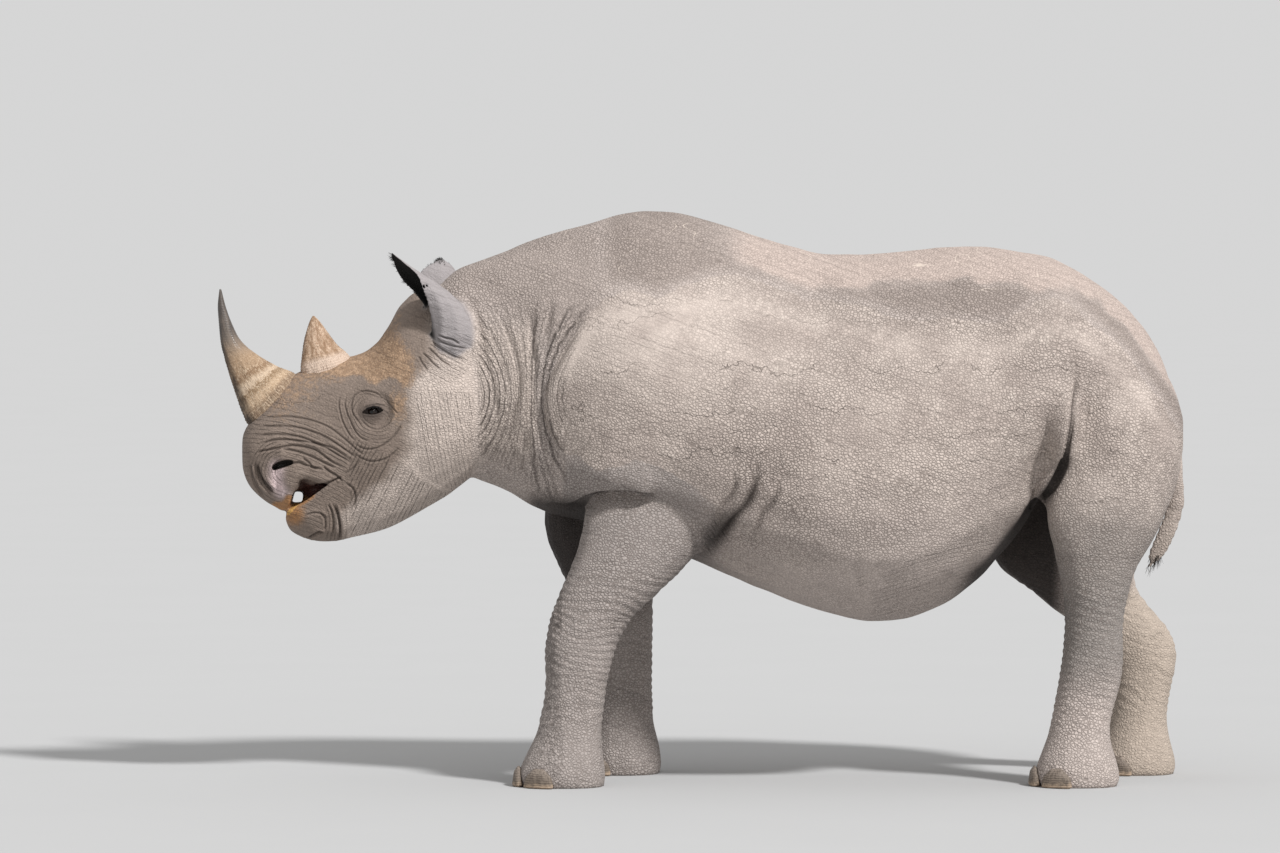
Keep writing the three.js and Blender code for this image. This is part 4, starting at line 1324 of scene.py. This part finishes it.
rough = 0.88 - 0.10 * muzzle_on - 0.55 * pink_on * grain.ramp(0.35, 0.55) - 0.35 * mouth_on
relief = 0.9 * plate_edge.ramp(0.0, 0.30) * (1 - 0.6 * muzzle_on)
relief = relief + 0.35 * grain + 0.9 * crumb * ragged_mud
wear(
    shader,
    Base_Color=colour,
    Roughness=rough,
    Normal=bump(relief * rugged * (1 - 0.6 * ear_on) - 1.8 * groove - 0.8 * long_crack, 0.0024),
)
hide_mesh.materials.append(hide_material)
print("hide nodes:", len(hide_material.node_tree.nodes))

# %% [markdown]
# ## The horns
# A rhinoceros horn is a bundle of keratin fibres with no bone inside. It grows in layers, so it has
# bands across it and fibres along it: rough and tan at the foot, worn smooth and dark at the tip.
# Each horn is a loft: a slice with its place, tilt, depth and width at several heights, with a
# rounded curve through them, and fine ridges along the fibres that fade towards the tip.

# %% Build the horns
HORN_COLUMNS = 132
LAYER_SPACING = 0.0075
FRONT_HORN = [
    (-1.221, 1.080, 47, 0.098, 0.066),
    (-1.250, 1.108, 47, 0.100, 0.068),
    (-1.292, 1.161, 36, 0.071, 0.054),
    (-1.330, 1.216, 20, 0.048, 0.041),
    (-1.362, 1.268, 7, 0.030, 0.028),
    (-1.378, 1.322, -6, 0.020, 0.019),
    (-1.389, 1.373, -8, 0.012, 0.012),
    (-1.393, 1.422, -8, 0.003, 0.003),
]
REAR_HORN = [
    (-1.078, 1.165, 17, 0.074, 0.060),
    (-1.088, 1.204, 17, 0.076, 0.061),
    (-1.104, 1.247, 13, 0.054, 0.044),
    (-1.114, 1.287, 10, 0.036, 0.029),
    (-1.121, 1.327, 10, 0.016, 0.014),
    (-1.124, 1.345, 10, 0.003, 0.003),
]


def lofted(rings, root, tip):
    """Triangles over rings of points, from the root's middle point to the tip."""
    rows, columns = rings.shape[:2]
    grid = np.arange(rows * columns).reshape(rows, columns)
    beside = np.roll(grid, -1, axis=1)
    quads = np.stack([grid[:-1], beside[:-1], beside[1:], grid[1:]], axis=-1).reshape(-1, 4)
    faces = np.vstack([quads[:, [0, 1, 2]], quads[:, [0, 2, 3]]])
    ends = [(grid[0], beside[0], rows * columns), (beside[-1], grid[-1], rows * columns + 1)]
    for first, second, middle in ends:
        faces = np.vstack([faces, np.stack([second, first, np.full(columns, middle)], axis=1)])
    return np.vstack([rings.reshape(-1, 3), root, tip]), faces


def horn_piece(name, table, slices, coarse, crease):
    rows = smooth_curve(table, slices)
    turn = np.linspace(0, 2 * math.pi, HORN_COLUMNS, endpoint=False)
    tilt, deep, wide = np.radians(rows[:, 2:3]), rows[:, 3:4], rows[:, 4:5]
    run = np.linalg.norm(np.diff(rows[:, :2], axis=0), axis=1)
    length = np.concatenate([[0], np.cumsum(run)])[:, None]
    share = length / length[-1]
    columns = np.broadcast_arrays(np.cos(turn) * deep, np.sin(turn) * wide, 0.10 * length)
    fibre = np.stack(columns, axis=-1)
    flat = fibre.reshape(-1, 3)
    ridges = 0.0011 * lumps(flat, 0.0042, 21) + 0.0016 * lumps(flat, 0.016, 22)
    ridges = ridges.reshape(fibre.shape[:2]) * coarse * (1 - share) ** 1.2
    layers = 0.0007 * np.sin(length / LAYER_SPACING * 2 * math.pi) * (1 - share)
    grow = 1 + (ridges + layers - 0.0006 * bell(length - crease, 0.006)) / wide
    along, across = np.cos(turn) * deep * grow, np.sin(turn) * wide * grow
    ring_x, ring_z = rows[:, 0:1] - along * np.cos(tilt), rows[:, 1:2] - along * np.sin(tilt)
    rings = np.stack([ring_x, across, ring_z], axis=-1)
    root, tip = ([row[0], 0, row[1]] for row in (rows[0], rows[-1] + (rows[-1] - rows[-2])))
    points, faces = lofted(rings, [root], [tip])
    mesh = new_mesh(name, points, faces)
    shade_smooth(mesh)

    def with_ends(values):
        values = np.broadcast_to(values, fibre.shape[:2])
        return np.append(values.ravel(), [values[0, 0], values[-1, -1]])

    store(mesh, "fibre", *[with_ends(fibre[..., axis]) for axis in range(3)])
    store(mesh, "horn", *[with_ends(values) for values in (length, np.cos(turn), share)])
    piece = new_object(name, mesh)
    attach(piece, "root")
    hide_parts(name)
    print(name, "triangles:", len(faces), "length:", round(float(length[-1, 0]), 3))
    return piece


front_horn = horn_piece("front_horn", FRONT_HORN, 190, 1.0, 0.205)
rear_horn = horn_piece("rear_horn", REAR_HORN, 120, 1.2, 0.020)

# %% [markdown]
# ## The horns' finish
# Noise that is stretched along the fibres gives streaks, and the distance from the foot gives the
# bands. The front horn's foot is tan, with a pale band where mud has dried, and its front edge is
# dark where it is rubbed on branches, with painted shade on that side, turned from the light.
# Towards the tip it is dark and polished.

# %% Finish the horns
def horn_material(name, fibre, strand, crumb, **constants):
    """A horn's material and shader, its stored numbers, and noise along its fibres and over it."""
    material, shader, start = new_finish(name, **constants)
    streaks = start.node("Attribute", {"attribute_name": "fibre"}, None, "Vector")
    noises = streaks.noise(*fibre), streaks.noise(*strand), start.place().noise(*crumb)
    return material, shader, start.stored("horn"), noises


front_finish, shader, numbers, noises = horn_material(
    "front_horn", (0.0024, 3, 0.65), (0.010, 3, 0.6), (0.006, 3, 0.7), Coat_Roughness=0.20
)
up_horn, facing_front, horn_share = numbers
fibres, strands, crumbs = noises
fuzzy = up_horn + 0.034 * (crumbs - 0.5) + 0.026 * (strands - 0.5)
BANDS = [
    (0.020, 0.047, (136, 114, 94)),
    (0.052, 0.078, (188, 162, 134)),
    (0.080, 0.094, (138, 112, 84)),
    (0.096, 0.118, (202, 180, 156)),
    (0.120, 0.142, (134, 106, 80)),
]


def band(low, high, soft=0.008):
    return fuzzy.ramp(low - soft, low + soft) * fuzzy.ramp(high + soft, high - soft) * 0.8


# The front edge is darkened by wear and by painted shade.
rubbed_and_shaded = facing_front.ramp(0.55, 0.86) * (0.4 + 0.6 * strands.ramp(0.3, 0.6))
horn_colour = layered(
    paint(158, 132, 106),
    (fuzzy.ramp(0.17, 0.27), paint(136, 122, 109)),
    *[(band(low, high), paint(*tone)) for low, high, tone in BANDS],
    (horn_share.ramp(0.45, 0.75) * (0.6 + 0.4 * strands.ramp(0.35, 0.6)), paint(66, 58, 53)),
    ((crumbs * fibres).ramp(0.24, 0.36) * horn_share.ramp(0.62, 0.30) * 0.55, paint(218, 198, 172)),
    (fibres.ramp(0.46, 0.30) * (0.75 - 0.45 * horn_share), paint(88, 66, 50)),
    (strands.ramp(0.42, 0.28) * horn_share.ramp(0.30, 0.60) * 0.6, paint(70, 60, 54)),
    (rubbed_and_shaded * 0.85, paint(42, 36, 33)),
)
polish = horn_share.ramp(0.45, 0.85)
wear(
    shader,
    Base_Color=horn_colour,
    Roughness=0.85 - 0.40 * polish,
    Coat_Weight=0.5 * polish,
    Normal=bump((fibres + 0.6 * crumbs) * (1.15 - horn_share), 0.0030),
)
front_horn.data.materials.append(front_finish)

rear_finish, shader, numbers, noises = horn_material(
    "rear_horn", (0.0028, 3, 0.65), (0.012, 2, 0.6), (0.008, 4, 0.7), Specular_IOR_Level=0.35
)
up_horn, facing_front, horn_share = numbers
fibres, strands, crumbs = noises
horn_colour = layered(
    paint(150, 122, 97),
    (strands.ramp(0.35, 0.65), paint(200, 174, 150)),
    (crumbs.ramp(0.52, 0.38) * 0.65, paint(150, 116, 90)),
    ((up_horn + 0.02 * crumbs).ramp(0.085, 0.062), paint(204, 182, 164)),
    (fibres.ramp(0.46, 0.32) * 0.65, paint(118, 88, 66)),
    (facing_front.ramp(0.86, 0.99) * 0.6, paint(96, 76, 60)),
)
wear(
    shader,
    Base_Color=horn_colour,
    Roughness=0.82 - 0.15 * horn_share,
    Normal=bump(fibres + 0.7 * crumbs, 0.0034),
)
rear_horn.data.materials.append(rear_finish)

# %% [markdown]
# ## The nails
# Each foot has three broad nails set in the front of its pad. They are thick, worn round at the
# edge, and show fine growth lines that run along them from side to side. The solids have the right
# place and size, so each is remeshed finely, rounded, and given its growth lines.

# %% Build the nails
NAIL_SQUARE = 0.0030
nail_finish, shader, start = new_finish("nail", Specular_IOR_Level=0.4)
nail_space = start.place()
nail_height = start.stored("nail")[0]
growth = nail_height * 56 + 7 * nail_space.noise(0.02, 2)
grown = growth.math("SINE", growth)
upright = nail_space.scaled(1, 1, 8).noise(0.005, 3, 0.6)
dusty_foot = (nail_height + 0.5 * (nail_space.noise(0.012, 3) - 0.5)).ramp(0.30, 0.05)
nail_colour = layered(
    paint(104, 92, 80),
    (nail_height.ramp(0.0, 0.9), paint(132, 120, 110)),
    (upright.ramp(0.55, 0.40) * 0.5, paint(70, 60, 52)),
    (dusty_foot, paint(160, 140, 120)),
)
wear(
    shader,
    Base_Color=nail_colour,
    Roughness=0.62 + 0.2 * upright,
    Normal=bump(grown * 0.4 + upright, 0.0012),
)
for name in sorted(name for name in nodes if "nail" in name):
    solid = welded(name)
    coarse_points = [vert.co.copy() for vert in solid.verts]
    coarse_faces = [[vert.index for vert in face.verts] for face in solid.faces]
    solid.free()
    nail_points, nail_faces = remeshed(coarse_points, coarse_faces, NAIL_SQUARE)
    nail_around = neighbours_of(nail_points, nail_faces)
    rounded = relaxed(nail_points, nail_around, 0.5, 16)
    rounded += 0.9 * relaxed(nail_points - rounded, nail_around, 0.5, 16)
    low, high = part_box(name)
    share = (rounded[:, 2] - low.z) / (high.z - low.z)
    rounded[:, 2] = np.maximum(rounded[:, 2], low.z)
    mesh = new_mesh(name, rounded, nail_faces)
    shade_smooth(mesh)
    store(mesh, "nail", share)
    mesh.materials.append(nail_finish)
    piece = new_object(name, mesh)
    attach(piece, "root")
    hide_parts(name)
print("squares on a nail:", len(nail_faces))

# %% [markdown]
# ## The eyes
# The eye is small and dark, a ball of about 38 mm with a clear cornea that bulges a little over
# the iris. Only a slit of it shows between the lids. The ball is a fine sphere turned so that its
# pole looks out and slightly ahead. The iris is drawn by the angle from that pole.

# %% Build the eyes
eye_finish, shader, start = new_finish(
    "eye",
    Coat_Weight=1.0,
    Coat_Roughness=0.02,
    Coat_IOR=1.37,
    Roughness=0.15,
    Specular_IOR_Level=0.1,
)
off_pole, round_x, round_z = start.stored("gaze")
gaze = start.node("CombineXYZ", None, {0: round_x, 1: round_z, 2: 0.25 * off_pole})
rays = gaze.noise(0.16, 3, 0.6)
eye_colour = layered(
    paint(24, 15, 11),
    ((off_pole + 0.02 * (rays - 0.5)).ramp(0.50, 0.58), paint(28, 20, 18)),
    (rays.ramp(0.40, 0.60) * off_pole.ramp(0.55, 0.45) * 0.6, paint(38, 24, 15)),
    (off_pole.ramp(0.26, 0.22), paint(9, 8, 9)),
)
wear(shader, Base_Color=eye_colour)
for side, word in SIDES:
    ball = bmesh.new()
    bmesh.ops.create_uvsphere(ball, u_segments=72, v_segments=54, radius=1)
    spots = np.array([vert.co for vert in ball.verts])
    off = np.arccos(np.clip(spots[:, 2], -1, 1))
    size = EYE_RADIUS * (1 + 0.055 * ramp(0.62, 0.30, off)) - 0.0004
    forward = Vector((-0.28, side, 0.02)).to_track_quat("Z", "Y").to_matrix()
    placed = (spots * size[:, None]) @ np.array(forward).T + EYE[side]
    for vert, place in zip(ball.verts, placed):
        vert.co = place
    mesh = bpy.data.meshes.new("eye_" + word)
    ball.to_mesh(mesh)
    ball.free()
    shade_smooth(mesh)
    store(mesh, "gaze", off, spots[:, 0], spots[:, 1])
    mesh.materials.append(eye_finish)
    piece = new_object("eye_ball_" + word, mesh)
    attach(piece, "root")
    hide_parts("eye_" + word)
print("eye radius, mm:", round(1000 * EYE_RADIUS, 1))

# %% [markdown]
# ## Hair
# A black rhinoceros is bald apart from a fringe on the rims of its ears, lashes, and stiff bristles
# along both edges of the tail's end. Hair could be drawn by Blender's hair curves, but solid
# strands hold up anywhere, so each is a thin three-sided spike that bends and narrows. Strands
# stand in tufts of five, and a tuft's patch on the unwrap lies where its root is on the skin.

# %% A helper for tufts of hair
TUFT = 5


def round_unwrap(turn, height, tall):
    """Places on the unwrap: across by the way a root faces, and up by its share of the height."""
    return np.stack([0.5 + turn / (2 * math.pi) * 0.98, 0.02 + 0.96 * height / tall], axis=1)


def hair_piece(name, roots, ways, lengths, thick, unwrapped, finish, droop, seed, spread):
    """Tufts of strands. Each array has a row for each tuft; unwrapped is (u, v) of its root."""
    luck = np.random.default_rng(seed)
    strands = TUFT
    count = len(roots) * strands
    tuft = np.repeat(np.arange(len(roots)), strands)
    way = ways[tuft] + luck.normal(0, spread, (count, 3))
    way /= np.linalg.norm(way, axis=1, keepdims=True)
    long = lengths[tuft] * luck.uniform(0.55, 1.1, count)
    side = np.cross(way, luck.normal(0, 1, (count, 3)))
    side /= np.linalg.norm(side, axis=1, keepdims=True)
    other = np.cross(way, side)
    start_at = roots[tuft] + luck.normal(0, 0.0012, (count, 3)) - way * 0.003
    steps = np.linspace(0, 1, 6)
    bend = luck.normal(0, 0.10, (count, 3)) + np.array([0, 0, -droop])
    rings = []
    for step in steps[:-1]:
        middle = start_at + way * (long * step)[:, None] + bend * (long * step**2)[:, None]
        radius = thick * (1 - 0.75 * step) / 2
        for corner in range(3):
            angle = corner * 2 * math.pi / 3
            rings.append(middle + radius * (math.cos(angle) * side + math.sin(angle) * other))
    rings.append(start_at + way * long[:, None] + bend * long[:, None])
    spots = np.stack(rings, axis=1)
    each = spots.shape[1]
    pattern = [(0, 2, 1)]
    for ring in range(len(steps) - 2):
        for corner in range(3):
            a, b = 3 * ring + corner, 3 * ring + (corner + 1) % 3
            pattern += [(a, b, b + 3), (a, b + 3, a + 3)]
    last = 3 * (len(steps) - 2)
    pattern += [(last + corner, last + (corner + 1) % 3, each - 1) for corner in range(3)]
    faces = (np.array(pattern)[None] + (np.arange(count) * each)[:, None, None]).reshape(-1, 3)
    mesh = new_mesh(name, spots.reshape(-1, 3), faces)
    shade_smooth(mesh)
    corner_place = np.tile(np.arange(each), count)
    strand_in_tuft = np.tile(np.arange(strands), len(roots)).repeat(each)
    local_u = (strand_in_tuft + corner_place % 3 / 3) / strands
    local_v = np.minimum(corner_place // 3, len(steps) - 1) / (len(steps) - 1)
    uv = unwrapped[tuft].repeat(each, axis=0)
    uv = uv + 0.003 * (np.stack([local_u, local_v], axis=1) - 0.5)
    layer = mesh.uv_layers.new(name="OFBake")
    layer.data.foreach_set("uv", uv[points_and_corners(mesh)[1]].astype(np.float32).ravel())
    store(mesh, "strand", local_v, luck.random(count).repeat(each))
    mesh.materials.append(finish)
    piece = new_object(name, mesh)
    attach(piece, "root")
    print(name, "strands:", count, "triangles:", len(faces))


def hair_finish(name, dark, light):
    material, shader, start = new_finish(name, Specular_IOR_Level=0.35)
    up_strand, luck, _ = start.stored("strand")
    colour = (luck * 0.8 + 0.2 * up_strand).mix(dark, light)
    wear(shader, Base_Color=colour, Roughness=0.55 + 0.2 * luck)
    return material


black_hair = hair_finish("black_hair", paint(20, 19, 19), paint(46, 42, 40))
tail_hair = hair_finish("tail_hair", paint(26, 23, 21), paint(62, 54, 48))

# %% [markdown]
# ## Hair on the ears, the tail and the lids
# The roots are points of the hide itself: on an ear they lie where its outside turns over into its
# inside. On the tail they lie on the front and back edges of its flattened end, and round its tip.

# %% Grow the hair
luck = np.random.default_rng(4)
for side, word in SIDES:
    rim = on_ear * bell(facing_out + 0.02, 0.30) * ramp(1.35, 1.40, z) * (y * side > 0)
    rim *= 0.25 + 0.75 * ramp(1.40, 1.49, z)
    rim *= (ear_away[:, 0] < -0.25 + 0.45 * ramp(1.46, 1.50, z)) if side < 0 else (z > 1.44)
    chosen = np.flatnonzero(luck.random(len(rim)) < rim * 0.55)
    roots = hide_points[chosen]
    upward = np.array([-0.35 if side < 0 else 0.0, 0.15 * side, 0.9])
    ways = 0.75 * normals[chosen] + 0.75 * upward
    short, more = (0.009, 0.010) if side < 0 else (0.005, 0.004)
    lengths = short + more * ramp(1.40, 1.50, roots[:, 2])
    turn = np.arctan2(ear_away[chosen, 1], ear_away[chosen, 0])
    unwrapped = round_unwrap(turn, roots[:, 2] - 1.20, 0.36)
    hair_piece(
        "ear_hair_" + word, roots, ways, lengths, 0.0011, unwrapped,
        black_hair, droop=0.1, seed=11, spread=0.22,
    )

for side, word in SIDES:
    chosen = np.flatnonzero(luck.random(len(lash_root)) < lash_root * (y * side > 0) * 0.5)
    roots = hide_points[chosen]
    ways = np.array([-0.35, 0.85 * side, -0.05]) + 6 * (roots - EYE[side]) * [1, 0, 0]
    unwrapped = 0.5 + (roots - EYE[side])[:, [0, 2]] / 0.08
    lengths = np.full(len(chosen), 0.011)
    hair_piece(
        "lashes_" + word, roots, ways, lengths, 0.0007, unwrapped,
        black_hair, droop=0.35, seed=13, spread=0.16,
    )

tail_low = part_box("tail_lower")[0]
edge = on_tail * ramp(0.80, 0.95, np.abs(normals[:, 0])) * ramp(0.82, 0.74, z) * ramp(0.60, 0.63, z)
tip = on_tail * ramp(0.665, 0.625, z)
chosen = np.flatnonzero(luck.random(len(edge)) < edge * 0.16 + tip * 0.35)
roots = hide_points[chosen]
ways = 0.30 * normals[chosen] + np.array([-0.30, 0, -0.90])
lengths = 0.016 + 0.016 * ramp(0.72, 0.60, roots[:, 2])
turn = np.arctan2(normals[chosen, 1], normals[chosen, 0])
unwrapped = round_unwrap(turn, roots[:, 2] - tail_low.z, 0.6)
hair_piece(
    "tail_fringe", roots, ways, lengths, 0.0013, unwrapped,
    tail_hair, droop=0.1, seed=12, spread=0.16,
)

# %% [markdown]
# ## Floor, light and camera
# The floor is one plain pale plane. A soft sun stands for a big studio lamp, above the animal on
# its near side and towards its tail, and an even sky fills the shade. The sky has the brightness
# of the lit floor, so that no horizon shows. The camera is far away with a long lens, which keeps
# the proportions true, and looks slightly down.

# %% Set the stage
FLOOR_REACH = 60
corners = np.array([(-1, -1, 0), (1, -1, 0), (1, 1, 0), (-1, 1, 0)]) * FLOOR_REACH
floor_mesh = new_mesh("floor", corners, np.array([[0, 1, 2, 3]]))
floor = new_object("floor", floor_mesh)
floor_finish, shader, start = new_finish("floor", Roughness=0.9, Specular_IOR_Level=0.0)
floor_cloud = start.place().noise(0.6, 3)
FLOOR_SHADE = 0.47
floor_tint = FLOOR_SHADE + 0.012 * (floor_cloud - 0.5)
wear(shader, Base_Color=floor_tint.grey())
floor_mesh.materials.append(floor_finish)
floor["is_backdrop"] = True

SUN_STRENGTH = 3.6
towards_sun = Vector((0.76, -0.94, 1.06)).normalized()
sun = bpy.data.lights.new("studio_lamp", "SUN")
sun.energy = SUN_STRENGTH
sun.angle = math.radians(7)
lamp = new_object("studio_lamp", sun)
lamp.rotation_euler = towards_sun.to_track_quat("Z", "Y").to_euler()

world = bpy.data.worlds.new("studio")
world.use_nodes = True
bpy.context.scene.world = world
sky = FLOOR_SHADE * SUN_STRENGTH * towards_sun.z / math.pi / (1 - FLOOR_SHADE)
world.node_tree.nodes["Background"].inputs["Color"].default_value = (1, 1, 1, 1)
world.node_tree.nodes["Background"].inputs["Strength"].default_value = sky
bpy.context.scene.view_settings.view_transform = "Standard"
print("sky strength:", round(sky, 3))

camera_data = bpy.data.cameras.new("camera")
camera_data.lens = 213.5
camera_data.sensor_width = 36
camera_data.clip_end = 400
camera = new_object("camera", camera_data)
camera.location = (-0.177, -22.0, 1.793)
camera.rotation_euler = (math.radians(88), 0, 0)
bpy.context.scene.camera = camera

# %% [markdown]
# ## Closing
# The bounds of the finished model are measured.

# %% Measure the finished model
low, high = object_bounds()
